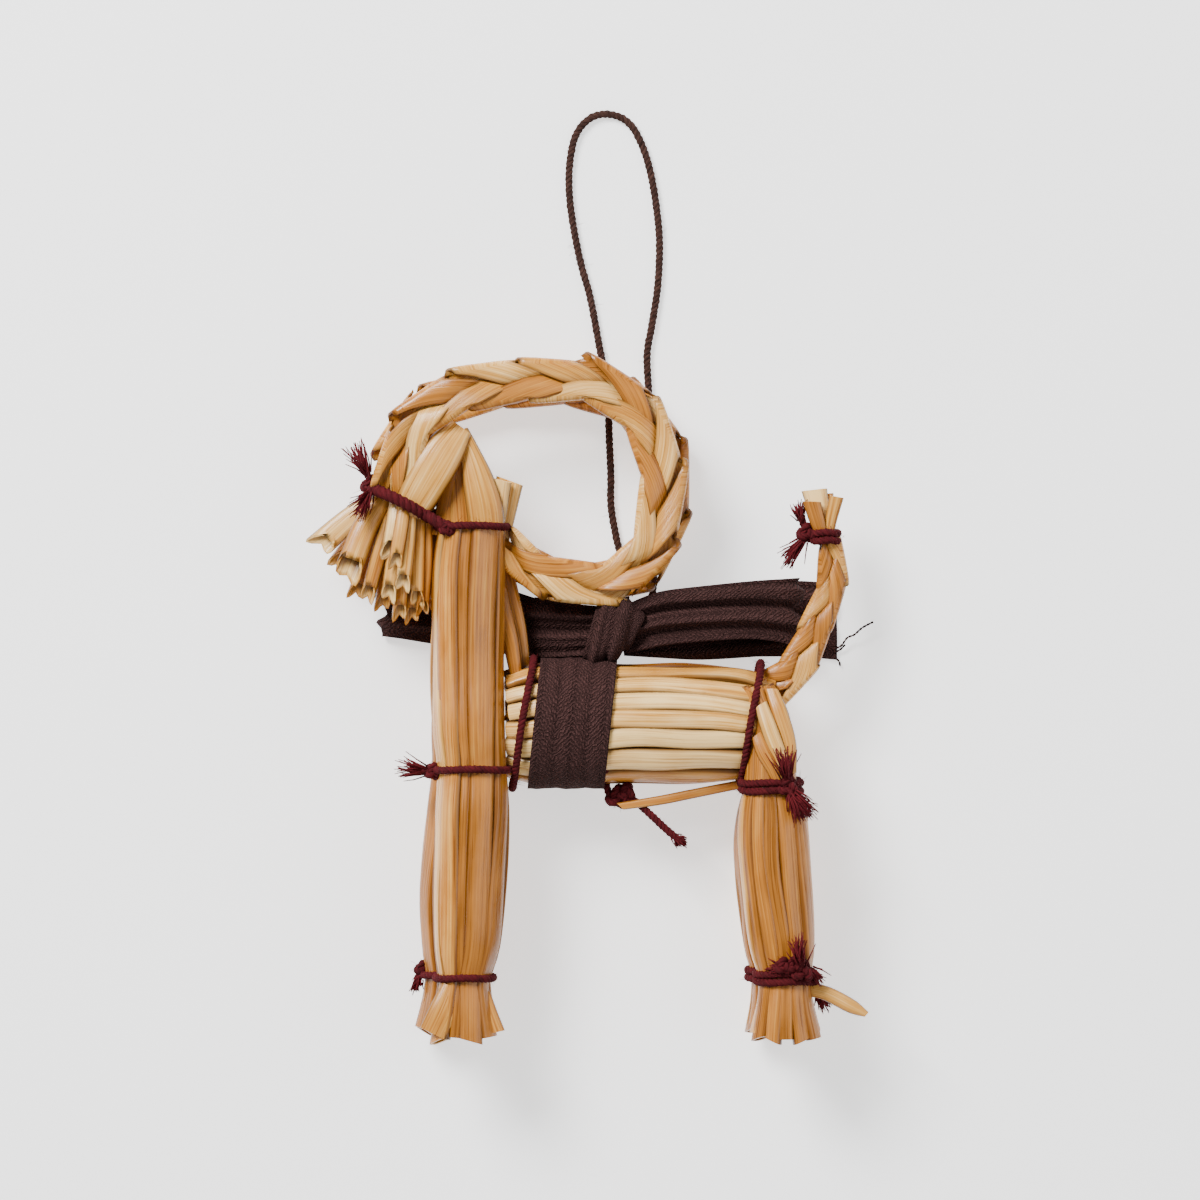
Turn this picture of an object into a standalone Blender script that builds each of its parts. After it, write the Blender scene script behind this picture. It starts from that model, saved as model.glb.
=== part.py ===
# A plaited straw goat ornament, lying on its far side.
# X runs from the beard to the rump, Y from the feet to the horns and Z from the table to the near side.
# The origin is on the table, under the middle of the goat. All sizes are in metres.

import math

import bmesh
import bpy
from mathutils import Vector

MM = 0.001

# Whole figure, as it lies
THICKNESS = 23.2 * MM
FEET_Y = -60.0 * MM
HIND_HEIGHT = 43.9 * MM
BODY_ABOVE_TIE = 0.1 * MM
NECK_HEIGHT = 24.3 * MM
FRONT_X = -22.0 * MM
HIND_X = 32.6 * MM

# Bundles: half sizes across the photograph and in depth
LEG_HALF_WIDTH = 6.4 * MM
LEG_HALF_DEPTH = 5.5 * MM
BODY_HALF_HEIGHT = 11.1 * MM
BODY_HALF_DEPTH = 9.4 * MM
LEG_STRAWS = 6
BODY_STRAWS = 12
GROOVE = 0.7 * MM
FLAT_SPOT = 0.2 * MM
LEG_JAG = 0.5 * MM
BODY_JAG = 0.4 * MM
JAG_STEP = 2.4

# Single straws
STRAW_WIDTH = 4.8 * MM
STRAW_THICKNESS = 2.2 * MM
HEAD_STRAW_THICKNESS = 3.5 * MM
BEARD_THICKNESS = 2.6 * MM

# Plaits
PLAIT_SWAY = 1.6 * MM
PLAIT_DEPTH = 1.0 * MM
PLAIT_PITCH = 37.0 * MM
PLAIT_THICKNESS = 1.9 * MM
PLAIT_RINGS_PER_PITCH = 5
PLAIT_RINGS_LEAST = 7
PLAIT_NARROWS_FROM = 0.8

# Yarn, tape and cord
YARN_RADIUS = 0.85 * MM
TAPE_WIDTH = 13.2 * MM
TAPE_THICKNESS = 0.9 * MM
CORD_DIAMETER = 1.45 * MM
CORD_POINTS = 33

# Fits: gap between pieces, room between the front legs and the body, and how far the body enters the rump
CLEARANCE = 0.3 * MM
SHOULDER_GAP = 1.3 * MM
RUMP_OVERLAP = 1.8 * MM

# Corners of a yarn and points of its rings
YARN_SIDES = 5
LEG_RING_POINTS = 10
BODY_RING_POINTS = 14
BAND_POINTS = 18

# Real size of the photograph's pixel, and the thickness in which the depths below are drawn
PIXEL = 0.18 * MM
DRAWN_THICKNESS = 23.2

MIDDLE_Z = THICKNESS / 2
BODY_Y = FEET_Y + HIND_HEIGHT + BODY_ABOVE_TIE + BODY_HALF_HEIGHT
FRONT_HEIGHT = BODY_Y + BODY_HALF_HEIGHT + NECK_HEIGHT - FEET_Y
BODY_FRONT_X = FRONT_X + LEG_HALF_WIDTH + SHOULDER_GAP
BODY_BACK_X = HIND_X - RUMP_OVERLAP
YARN_BUILD = 2 * YARN_RADIUS + CLEARANCE
TIED_HALF_DEPTH = (MIDDLE_Z - CLEARANCE / 2 - 2 * YARN_BUILD) / 2

UP = Vector((0, 0, 1))

STRAW = ("straw", (0.72, 0.52, 0.28, 1.0), 0.42)
YARN = ("burgundy_yarn", (0.16, 0.02, 0.03, 1.0), 0.9)
TAPE = ("brown_tape", (0.06, 0.035, 0.035, 1.0), 0.9)
CORD = ("brown_cord", (0.05, 0.025, 0.02, 1.0), 0.85)

# Front bundle, from the foot up: share of its height, lean, extra lean of the far half, width and depth
# as shares of the leg's, how far it stays inside the thickness, and lift from the middle
FRONT_ROWS = (
    (0.000, -1.1, -2.5, 0.95, 0.88, 0.8, 0.0),
    (0.107, -0.8, -2.7, 0.60, None, None, 0.0),
    (0.280, 0.0, -2.9, 0.98, 1.00, 0.0, 0.0),
    (0.423, 0.5, -2.1, 1.00, 1.00, 0.0, 0.0),
    (0.519, 0.7, -1.4, 0.78, None, None, 0.0),
    (0.600, 0.0, -1.0, 0.92, 0.84, 0.2, 0.0),
    (0.690, -0.1, -1.0, 0.92, 0.84, 0.2, 0.0),
    (0.728, -0.2, -0.8, 0.97, 1.05, 2.8, 0.8),
    (0.900, -0.1, 0.0, 0.99, 1.02, 2.9, 0.8),
    (1.000, 0.5, 0.0, 0.95, 0.89, 3.4, 0.8),
)
FRONT_FOOT_ROW = 1
FRONT_TIE_ROW = 4
NECK_ROW = 9

# Hind bundle, in the same way, with shares of the hind leg's height; what is over 1 goes on up into the
# body, in shares of the body's half height
HIND_ROWS = (
    (0.000, 2.3, -1.0, 0.95, 0.88, 0.8, 0.0),
    (0.222, 2.0, -1.2, 0.68, None, None, 0.0),
    (0.430, 1.2, -1.1, 0.95, 1.00, 0.0, 0.0),
    (0.740, 0.3, -0.8, 1.00, 1.00, 0.0, 0.0),
    (0.890, 0.0, -0.5, 0.92, 0.86, 0.5, 0.0),
    (1.000, -0.5, 0.0, 0.67, None, None, 0.0),
    (1.593, -0.8, 0.0, 0.62, 0.82, 1.4, 0.0),
    (2.147, -1.6, 0.0, 0.60, 0.78, 2.2, 0.0),
    (2.424, -4.0, 0.0, 0.50, 0.68, 3.0, 0.0),
)
HIND_FOOT_ROW = 1
HIND_TIE_ROW = 5

# Body bundle, from the chest to the rump: share of its length, half height and half depth as shares
BODY_ROWS = (
    (0.00, 0.85, 0.80),
    (0.12, 1.00, 1.00),
    (0.70, 0.97, 1.00),
    (0.92, 0.90, 0.98),
    (1.00, 0.72, 0.80),
)
CHEST_TIE_FROM_FRONT = 2.65 * MM
CHEST_TIE_SLANT = 1.5 * MM
BELLY_TIE_FROM_BAND = 5.8 * MM
RUMP_TIE_FROM_BACK = 3.1 * MM
RUMP_TIE_SLANT = 2.0 * MM
BELLY_TIE_GRIP = 1.3 * MM
BELLY_TIE_RUN = 3.0 * MM
BAND_FROM_CHEST_TIE = 1.55 * MM
BAND_SLANT = 1.2 * MM
CHEST_TIE_X = BODY_FRONT_X + CHEST_TIE_FROM_FRONT
RUMP_TIE_X = BODY_BACK_X - RUMP_TIE_FROM_BACK
BAND_X = CHEST_TIE_X + BAND_FROM_CHEST_TIE + TAPE_WIDTH / 2
BELLY_TIE_X = BAND_X + BELLY_TIE_FROM_BAND

# Spots that free forms are measured from: their pixel x and pixel y, and their real x and y
BEHIND_NECK = (469.8, 526.6, FRONT_X, FEET_Y + FRONT_HEIGHT)
SHOULDERS = (469.8, 661.6, FRONT_X, BODY_Y + BODY_HALF_HEIGHT)
FRONT_KNEE = (469.8, 768.4, FRONT_X, FEET_Y + FRONT_ROWS[4][0] * FRONT_HEIGHT)
FRONT_FOOT = (469.8, 1029.3, FRONT_X, FEET_Y)
HIND_KNEE = (773.1, 785.4, HIND_X, FEET_Y + HIND_HEIGHT)
HIND_FOOT = (773.1, 1029.3, HIND_X, FEET_Y)
BACK = (572.6, 661.6, BAND_X, BODY_Y + BODY_HALF_HEIGHT)
RUMP = (763.1, 661.6, BODY_BACK_X, BODY_Y + BODY_HALF_HEIGHT)
BELLY = (604.8, 784.9, BELLY_TIE_X, BODY_Y - BODY_HALF_HEIGHT)

# Straws that fold over the head: pixel x, pixel y and width in millimetres
HEAD_OUTER = (
    (480, 534, 5.0), (475, 480, 4.4), (456, 433, 4.0),
    (441, 447, 5.2), (411, 501, 5.4), (404, 516, 5.0),
)
HEAD_INNER = ((455, 534, 6.0), (453, 505, 5.4), (448, 472, 3.0), (436, 478, 3.4), (416, 508, 3.4))
HEAD_BROW = ((430, 447, 3.4), (402, 464, 4.4), (389, 496, 4.0), (392, 508, 3.6))
HEAD_DEPTHS = (15.8, 12.5, 9.2)
HEAD_INSIDE_DEPTHS = (14.2, 10.6)
HEAD_INSIDE_THICKNESS = 4.2 * MM

# Beard straws: root, middle and tip in pixels, each with its depth and width in millimetres
BEARD = (
    ((388, 492, 10.0, 3.2), (354, 515, 10.2, 3.8), (323, 545, 10.5, 4.4)),
    ((391, 494, 14.6, 4.2), (370, 530, 15.6, 5.2), (352, 571, 16.4, 5.8)),
    ((396, 496, 12.5, 3.2), (362, 592, 12.5, 2.4)),
    ((400, 498, 15.4, 3.2), (369, 597, 15.6, 2.6)),
    ((406, 500, 15.6, 3.4), (385, 603, 16.8, 3.0)),
    ((411, 502, 15.4, 4.2), (401, 593, 16.0, 3.2)),
    ((416, 504, 12.4, 3.2), (403, 614, 12.0, 2.0)),
    ((420, 506, 14.4, 3.2), (414, 562, 14.4, 3.2), (415, 617, 14.0, 2.0)),
    ((394, 495, 9.4, 3.6), (342, 562, 8.0, 4.0)),
    ((402, 498, 9.2, 3.6), (366, 586, 8.0, 3.2)),
    ((410, 502, 9.2, 3.6), (388, 598, 8.0, 3.2)),
    ((418, 505, 9.4, 3.4), (410, 598, 8.6, 2.6)),
)
MUZZLE_PIXEL = (401, 501)
MUZZLE_ALONG = Vector((0.89, -0.455, 0.0))
MUZZLE_HALF_WIDTH = 5.5 * MM
MUZZLE_HALF_DEPTH = 5.6 * MM
MUZZLE_DEPTH = (HEAD_DEPTHS[0] + HEAD_DEPTHS[-1]) / 2
MUZZLE_SQUARENESS = 3.0
MUZZLE_KNOT = (374, 485, 16.4, 1.7)
MUZZLE_YARNS = (
    ((374, 485, 16.6), (366, 469, 17.2), (354, 449, 17.6)),
    ((374, 487, 17.0), (367, 503, 19.2), (363, 516, 19.6)),
)
NECK_KNOT = (446, 528, 20.6, 1.3)
NECK_SQUARENESS = 2.8

# Short cut ends behind the neck and curved straws from the neck to the back, in the same way
NECK_ENDS = (
    ((490, 548, 15.0, 2.8), (498, 481, 15.0, 2.8)),
    ((496, 548, 12.4, 3.0), (509, 480, 12.4, 3.4)),
    ((490, 548, 9.0, 3.0), (502, 484, 9.0, 3.2)),
)
SHOULDER = (
    ((500, 566, 11.0, 2.8), (512, 604, 11.0, 2.8), (524, 656, 11.0, 2.4)),
    ((498, 590, 14.0, 2.8), (507, 626, 14.4, 2.8), (517, 655, 14.4, 2.2)),
)
FOOT_STRAWS = (
    ((452, 1000, 20.4, 4.4), (444, 1014, 20.6, 4.6), (434, 1026, 20.6, 4.4)),
    ((486, 994, 18.0, 1.8), (492, 1012, 18.6, 2.0), (500, 1028, 19.0, 2.2)),
)
STRAY_STRAW = ((798, 988, 17.0, 2.0), (822, 992, 17.4, 2.2), (846, 1002, 17.6, 2.2), (867, 1012, 17.6, 1.6))
STRAY_THICKNESS = 1.5 * MM
LOOSE_STRAW = ((722, 790, 13.0, 1.5), (690, 794, 13.0, 1.6), (665, 798, 13.0, 1.6), (642, 802, 13.0, 1.4))
LOOSE_THICKNESS = 1.2 * MM

# Knots of the leg ties, each with its depth and radius in millimetres, and the yarn ends beside them
LEG_KNOTS = {
    "front_leg_tie_near": (FRONT_KNEE, (437, 772, 17.4, 1.3)),
    "front_foot_tie_far": (FRONT_FOOT, (421, 970, 5.8, 1.2)),
    "hind_leg_tie_near": (HIND_KNEE, (787, 785, 22.4, 1.8)),
    "hind_foot_tie_near": (HIND_FOOT, (801, 969, 22.8, 1.8)),
}
LEG_YARNS = {
    "front_leg_tie_near": (((437, 772, 17.4), (420, 769, 17.4), (401, 767, 17.4)),),
    "front_foot_tie_far": (((421, 970, 5.8), (417, 978, 5.8), (415, 990, 5.8)),),
    "hind_leg_tie_near": (
        ((786, 784, 22.4), (784, 766, 22.5), (779, 742, 22.4)),
        ((788, 786, 22.4), (800, 800, 22.0), (811, 812, 21.6)),
        ((788, 788, 22.4), (795, 806, 23.0), (806, 823, 22.6)),
    ),
    "hind_foot_tie_near": (
        ((800, 966, 22.4), (796, 952, 23.9), (797, 938, 24.1)),
        ((803, 967, 21.8), (812, 967, 21.0), (818, 968, 20.6)),
    ),
}

# Loose end of the belly tie, in millimetres: from its ring to the knot that hangs there, and on from it
BELLY_KNOT_RADIUS = 1.5 * MM
BELLY_YARN_HANG = ((0.0, 0.0, 0.0), (1.3, -0.9, 0.0), (2.4, -3.4, 0.0))
BELLY_YARN_END = ((2.4, -3.4, 0.0), (6.0, -5.0, 0.6), (10.0, -8.6, 1.2), (13.8, -11.8, 1.4))
BODY_TIE_SQUARENESS = 2.2

# Centre lines of the plaits: pixel x, pixel y and depth in millimetres
HORN_NEAR = (
    (404, 476, 20.1), (408, 452, 20.1), (418, 430, 20.1), (437, 410, 20.1), (465, 395, 19.6),
    (500, 385, 18.2), (545, 381, 16.8), (590, 383, 15.8), (627, 402, 15.2), (651, 433, 15.0),
    (661, 473, 15.0), (658, 517, 15.0), (643, 555, 15.0), (614, 577, 15.0), (580, 582, 15.0),
    (547, 573, 15.0), (521, 557, 15.0),
)
HORN_FAR = (
    (391, 472, 4.9), (393, 448, 4.9), (404, 426, 4.9), (428, 408, 4.9), (463, 396, 4.9), (503, 388, 4.9),
    (546, 386, 4.9), (590, 389, 4.9), (630, 407, 4.9), (656, 436, 4.9), (667, 475, 4.9), (665, 519, 4.9),
    (650, 557, 4.9), (618, 577, 4.9), (582, 583, 5.0), (549, 575, 5.4), (522, 560, 5.8),
)
TAIL = (
    (777, 681, 13.4), (792, 668, 13.6), (807, 645, 13.6), (820, 614, 13.6), (830, 586, 13.6),
    (830, 560, 13.6), (826, 540, 13.6), (825, 532, 13.6),
)
TAIL_ENDS = (
    ((826, 540, 13.2, 2.4), (820, 520, 12.8, 3.8), (813, 489, 12.2, 4.6)),
    ((824, 540, 14.2, 2.0), (815, 500, 15.2, 3.4)),
    ((828, 540, 13.8, 1.8), (835, 496, 14.2, 2.4)),
)
TAIL_FINISH = 0.45
TAIL_END_THICKNESS = 1.2 * MM
TAIL_TIE_SPOT = (825, 535, 13.6)
TAIL_TIE_HALF = 2.2 * MM
TAIL_KNOT = (807, 533, 13.8, 1.5)
TAIL_YARNS = (
    ((806, 532, 13.8), (801, 520, 14.0), (796, 507, 14.2)),
    ((806, 534, 13.8), (799, 546, 13.8), (791, 560, 13.6)),
)

# Tape: pixel x, pixel y, depth and width in millimetres, along the middle of the tape
BOW_LEFT = (
    (606, 630, 12.0, 8.4), (560, 630, 9.8, 9.0), (520, 623, 5.2, 11.0), (500, 621, 3.0, 11.8),
    (470, 616, 2.4, 12.0), (430, 607, 2.4, 12.0), (396, 601, 2.6, 11.6), (382, 599, 2.3, 11.2),
    (378, 599, 1.5, 11.2), (382, 599, 0.7, 11.2), (398, 601, 0.45, 11.6), (430, 607, 0.45, 12.0),
    (470, 616, 0.45, 12.0), (504, 621, 0.8, 11.8), (540, 628, 3.6, 10.0), (575, 630, 6.4, 9.0),
    (606, 630, 8.0, 8.4),
)
BOW_RIGHT = (
    (624, 630, 12.2, 8.4), (665, 624, 12.4, 10.4), (700, 620, 12.0, 11.6), (750, 617, 11.0, 12.2),
    (785, 614, 9.9, 12.6), (795, 613, 9.2, 12.6), (799, 613, 8.1, 12.6), (795, 613, 7.0, 12.6),
    (785, 615, 6.3, 12.4), (750, 622, 5.8, 11.6), (700, 628, 6.2, 10.6), (660, 630, 7.8, 9.0),
    (624, 630, 8.8, 8.4),
)
TAPE_END_RIGHT = (
    (624, 631, 7.2, 7.6), (660, 629, 5.0, 10.0), (700, 625, 3.4, 12.0), (750, 620, 2.0, 13.4),
    (800, 619, 1.2, 13.4), (839, 620, 0.8, 13.4),
)
TAPE_END_LEFT = ((606, 634, 7.0, 7.6), (576, 634, 3.2, 10.0), (552, 633, 1.0, 12.0), (534, 632, 0.5, 12.6))
KNOT_LOW = (597, 656.5, 6.0)
KNOT_HIGH = (634, 606, 17.4)
KNOT_ROUNDING = 1.7 * MM

# Hanging loop, from one end under the knot to the other: pixel x, pixel y and height in millimetres
LOOP_ROUTE = (
    (616, 640, 4.9), (617, 630, 3.8), (621, 616, 1.6), (626, 598, 0.8), (625, 570, 0.8), (617, 540, 0.8),
    (611, 505, 0.8), (611, 475, 0.8), (609.5, 440, 0.8), (608, 405, 0.8), (604, 370, 0.8),
    (599, 342, 0.8), (590, 295, 0.8), (581, 262, 0.8), (573, 222, 0.8), (569, 190, 0.8),
    (569.5, 160, 0.8), (576, 131, 0.8), (591, 114, 0.8), (610, 110.5, 0.8), (629, 119, 0.8),
    (642, 141, 0.8), (651, 170, 0.8), (657, 205, 0.8), (660, 240, 0.8), (658, 285, 0.8),
    (652, 325, 0.8), (647.5, 352, 0.8), (649, 390, 0.8), (652, 430, 0.8), (653, 475, 0.8),
    (653, 520, 0.8), (654, 560, 0.8), (653, 592, 0.8), (648, 612, 1.0), (639, 630, 2.9), (632, 640, 4.9),
)


def spot(anchor, pixel_x, pixel_y, depth):
    """The point of a pixel, measured from its anchor, at a depth above the table."""
    from_x, from_y, real_x, real_y = anchor
    x = real_x + (pixel_x - from_x) * PIXEL
    y = real_y + (from_y - pixel_y) * PIXEL
    return Vector((x, y, depth / DRAWN_THICKNESS * THICKNESS))


def spline_at(points, place):
    """A point of the smooth curve through the points; place counts the points passed."""
    index = min(int(place), len(points) - 2)
    share = place - index
    start, end = points[index], points[index + 1]
    before = points[index - 1] if index > 0 else [2 * a - b for a, b in zip(start, end)]
    after = points[index + 2] if index + 2 < len(points) else [2 * b - a for a, b in zip(start, end)]
    result = []
    for a, b, c, d in zip(before, start, end, after):
        curve = 2 * b + (c - a) * share
        curve += (2 * a - 5 * b + 4 * c - d) * share ** 2
        curve += (3 * b - a - 3 * c + d) * share ** 3
        result.append(curve / 2)
    return result


def fine_route(points, steps=16):
    """The curve through the points, read at many places."""
    return [spline_at(points, k / steps) for k in range((len(points) - 1) * steps + 1)]


def even_route(points, count):
    """The curve through the points, read at equal distances along it."""
    fine = fine_route(points)
    reach = [0.0]
    for a, b in zip(fine, fine[1:]):
        reach.append(reach[-1] + (Vector(b[:3]) - Vector(a[:3])).length)
    route = []
    index = 0
    for k in range(count):
        goal = reach[-1] * k / (count - 1)
        while index < len(reach) - 2 and reach[index + 1] < goal:
            index += 1
        share = (goal - reach[index]) / max(reach[index + 1] - reach[index], 1e-12)
        route.append([a + (b - a) * share for a, b in zip(fine[index], fine[index + 1])])
    return route


def route_length(route):
    """The length of a route of points."""
    return sum((Vector(b[:3]) - Vector(a[:3])).length for a, b in zip(route, route[1:]))


def tangents(points):
    """The unit direction of a line of points at each of them."""
    last = len(points) - 1
    return [(points[min(i + 1, last)] - points[max(i - 1, 0)]).normalized() for i in range(last + 1)]


def loft(rings, closed=False):
    """A solid skin over rings of points; a closed one runs back into its first ring."""
    shape = bmesh.new()
    loops = [[shape.verts.new(point) for point in ring] for ring in rings]
    pairs = list(zip(loops, loops[1:]))
    if closed:
        pairs.append((loops[-1], loops[0]))
    for low, high in pairs:
        for i in range(len(low)):
            j = (i + 1) % len(low)
            shape.faces.new((low[i], low[j], high[j], high[i]))
    if not closed:
        for loop in (loops[0], loops[-1]):
            hub = shape.verts.new(sum((v.co for v in loop), Vector()) / len(loop))
            for i in range(len(loop)):
                shape.faces.new((loop[i], loop[(i + 1) % len(loop)], hub))
    bmesh.ops.recalc_face_normals(shape, faces=shape.faces)
    return shape


def straw_ring(centre, along, flat, width, thickness):
    """Six corners of a flattened straw's section."""
    flat = (flat - along * flat.dot(along)).normalized()
    side = along.cross(flat) * width
    flat = flat * thickness / 2
    return [
        centre + side / 2, centre + side / 4 + flat, centre - side / 4 + flat,
        centre - side / 2, centre - side / 4 - flat, centre + side / 4 - flat,
    ]


def straw(points, widths, thickness):
    """One flattened straw along the points, its flat side up."""
    rings = []
    for centre, along, width in zip(points, tangents(points), widths):
        rings.append(straw_ring(centre, along, UP, width, thickness))
    return loft(rings)


def straw_by_pixels(anchor, rows, thickness):
    """One straw through rows of pixel x, pixel y, depth and width."""
    points = [spot(anchor, x, y, z) for x, y, z, width in rows]
    return straw(points, [row[3] * MM for row in rows], thickness)


def yarn_ring(centre, along, outward):
    """The corners of a yarn's section, one of them outward."""
    outward = (outward - along * outward.dot(along)).normalized()
    side = along.cross(outward)
    corners = []
    for k in range(YARN_SIDES):
        angle = 2 * math.pi * k / YARN_SIDES
        corners.append(centre + (outward * math.cos(angle) + side * math.sin(angle)) * YARN_RADIUS)
    return corners


def yarn(points):
    """A short end of yarn along the points."""
    return loft([yarn_ring(centre, along, UP) for centre, along in zip(points, tangents(points))])


def ball(centre, radius):
    """A round knot of yarn."""
    shape = bmesh.new()
    bmesh.ops.create_icosphere(shape, subdivisions=1, radius=radius)
    bmesh.ops.translate(shape, verts=shape.verts, vec=centre)
    return shape


def knot_and_yarns(anchor, knot, yarns):
    """A knot, given as pixel x, pixel y, depth and radius, and the yarn ends beside it."""
    shapes = [ball(spot(anchor, *knot[:3]), knot[3] * MM)]
    for rows in yarns:
        shapes.append(yarn([spot(anchor, *row) for row in rows]))
    return shapes


def ring(centre, across, half_across, half_depth, count=LEG_RING_POINTS, slant=0.0, squareness=2.0):
    """A yarn ring round a bundle of the given half sizes, with its clearance."""
    reach = CLEARANCE + YARN_RADIUS
    along = across.cross(UP)
    power = 2 / squareness
    points = []
    for k in range(count):
        angle = 2 * math.pi * k / count
        share_x = math.copysign(abs(math.cos(angle)) ** power, math.cos(angle))
        share_z = math.copysign(abs(math.sin(angle)) ** power, math.sin(angle))
        point = centre + across * (half_across + reach) * share_x + along * slant * share_x
        point.z += (half_depth + reach) * share_z
        points.append(point)
    rings = []
    for k in range(count):
        direction = (points[(k + 1) % count] - points[k - 1]).normalized()
        rings.append(yarn_ring(points[k], direction, points[k] - centre))
    return loft(rings, closed=True)


def bundle(stations, count, first_angle, jag):
    """A bundle of straws side by side round an oval; each station is centre, across, half sizes."""
    spread = math.pi / count
    rings = []
    for index, (centre, across, half_across, half_depth) in enumerate(stations):
        along = across.cross(UP)
        points = []
        for k in range(count):
            middle = first_angle + 2 * math.pi * k / count
            slip = Vector()
            if index in (0, len(stations) - 1):
                slip = along * jag * math.sin(JAG_STEP * k)
            corners = ((middle - spread / 2, 0), (middle + spread / 2, 0), (middle + spread, GROOVE))
            for angle, depth in corners:
                point = centre + slip + across * (half_across - depth) * math.cos(angle)
                point.z = max(point.z + (half_depth - depth) * math.sin(angle), 0.0)
                points.append(point)
        rings.append(points)
    return loft(rings)


def leg_station(row, base_x, height, side):
    """One station of a half bundle; side is 1 for the near half and -1 for the far one."""
    share, lean, far_lean, width, depth, inset, lift = row
    half_depth = TIED_HALF_DEPTH if depth is None else depth * LEG_HALF_DEPTH
    inside = YARN_BUILD if depth is None else inset * MM
    offset = MIDDLE_Z - inside - half_depth
    if depth == 1.0 and inset == 0.0:
        offset += FLAT_SPOT
    x = base_x + (lean + (far_lean if side < 0 else 0.0)) * MM
    y = FEET_Y + min(share, 1.0) * height + max(share - 1.0, 0.0) * BODY_HALF_HEIGHT
    centre = Vector((x, y, MIDDLE_Z + lift * MM + side * offset))
    return centre, width * LEG_HALF_WIDTH, half_depth


def plait_strand(points, widths, thickness):
    """One strand of a plait: a flat band with square edges."""
    rings = []
    for centre, along, width in zip(points, tangents(points), widths):
        corners = straw_ring(centre, along, UP, 2 * width, thickness)
        rings.append([corners[1], corners[2], corners[4], corners[5]])
    return loft(rings)


def half_bundle(rows, base_x, height, side):
    """The near or far half of a leg bundle, with its stations square to its line."""
    places = [leg_station(row, base_x, height, side) for row in rows]
    flat_line = [Vector((centre.x, centre.y, 0)) for centre, width, depth in places]
    stations = []
    for (centre, width, depth), along in zip(places, tangents(flat_line)):
        stations.append((centre, Vector((along.y, -along.x, 0)), width, depth))
    return bundle(stations, LEG_STRAWS, -math.pi / 2, LEG_JAG)


def body_section(x):
    """Half height and half depth of the body at a place along it, without the belly tie's waist."""
    share = (x - BODY_FRONT_X) / (BODY_BACK_X - BODY_FRONT_X)
    share = min(max(share, 0.0), 1.0)
    for low, high in zip(BODY_ROWS, BODY_ROWS[1:]):
        if share <= high[0]:
            part = (share - low[0]) / (high[0] - low[0])
            height = low[1] + (high[1] - low[1]) * part
            depth = low[2] + (high[2] - low[2]) * part
            return BODY_HALF_HEIGHT * height, BODY_HALF_DEPTH * depth
    return BODY_HALF_HEIGHT, BODY_HALF_DEPTH


def body_stations():
    """The body's stations, with a waist where the belly tie grips it."""
    length = BODY_BACK_X - BODY_FRONT_X
    places = [(BODY_FRONT_X + row[0] * length, 0.0) for row in BODY_ROWS]
    for side in (-1, 1):
        places.append((BELLY_TIE_X + side * BELLY_TIE_RUN, 0.0))
        places.append((BELLY_TIE_X + side * BELLY_TIE_GRIP, YARN_BUILD + CLEARANCE))
    stations = []
    for x, waist in sorted(places):
        height, depth = body_section(x)
        stations.append((Vector((x, BODY_Y, MIDDLE_Z)), Vector((0, 1, 0)), height - waist, depth - waist))
    return stations


def plait(centre_line, finish=1.0):
    """Three flattened straws that cross over and under each other along a line; finish narrows its end."""
    length = route_length(fine_route(centre_line))
    count = max(int(length / PLAIT_PITCH * PLAIT_RINGS_PER_PITCH), PLAIT_RINGS_LEAST)
    route = [Vector(point) for point in even_route(centre_line, count)]
    strands = []
    for strand in range(3):
        points = []
        widths = []
        for k, (centre, along) in enumerate(zip(route, tangents(route))):
            share = k / (count - 1)
            near_end = max(0.0, (share - PLAIT_NARROWS_FROM) / (1.0 - PLAIT_NARROWS_FROM))
            narrow = 1.0 - (1.0 - finish) * near_end
            turn = 2 * math.pi * (length * share / PLAIT_PITCH + strand / 3)
            across = along.cross(UP).normalized()
            sway = across * PLAIT_SWAY * math.sin(turn) * narrow
            points.append(centre + sway + UP * PLAIT_DEPTH * math.sin(2 * turn) * narrow)
            widths.append(STRAW_WIDTH * narrow)
        strands.append(plait_strand(points, widths, PLAIT_THICKNESS))
    return strands


def tape(rows):
    """A strip of tape through rows of pixel x, pixel y, depth and width, its width along Y."""
    points = [spot(BACK, x, y, z) for x, y, z, width in rows]
    rings = []
    for centre, along, row in zip(points, tangents(points), rows):
        face = along.cross(Vector((0, 1, 0))).normalized() * TAPE_THICKNESS / 2
        side = Vector((0, 1, 0)) * row[3] * MM / 2
        rings.append([centre + side + face, centre - side + face, centre - side - face, centre + side - face])
    return loft(rings)


def belly_band():
    """The turn of tape round the body, over the belly tie."""
    rings = []
    half_height = BODY_HALF_HEIGHT + CLEARANCE
    half_depth = BODY_HALF_DEPTH + CLEARANCE
    for k in range(BAND_POINTS):
        angle = 2 * math.pi * k / BAND_POINTS
        x = BAND_X + BAND_SLANT * math.sin(angle)
        points = []
        for side, layer in ((-0.5, 0), (0.5, 0), (0.5, 1), (-0.5, 1)):
            out = layer * TAPE_THICKNESS
            y = BODY_Y + (half_height + out) * math.sin(angle)
            z = MIDDLE_Z + (half_depth + out) * math.cos(angle)
            points.append(Vector((x + side * TAPE_WIDTH, y, z)))
        rings.append(points)
    return loft(rings, closed=True)


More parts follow.
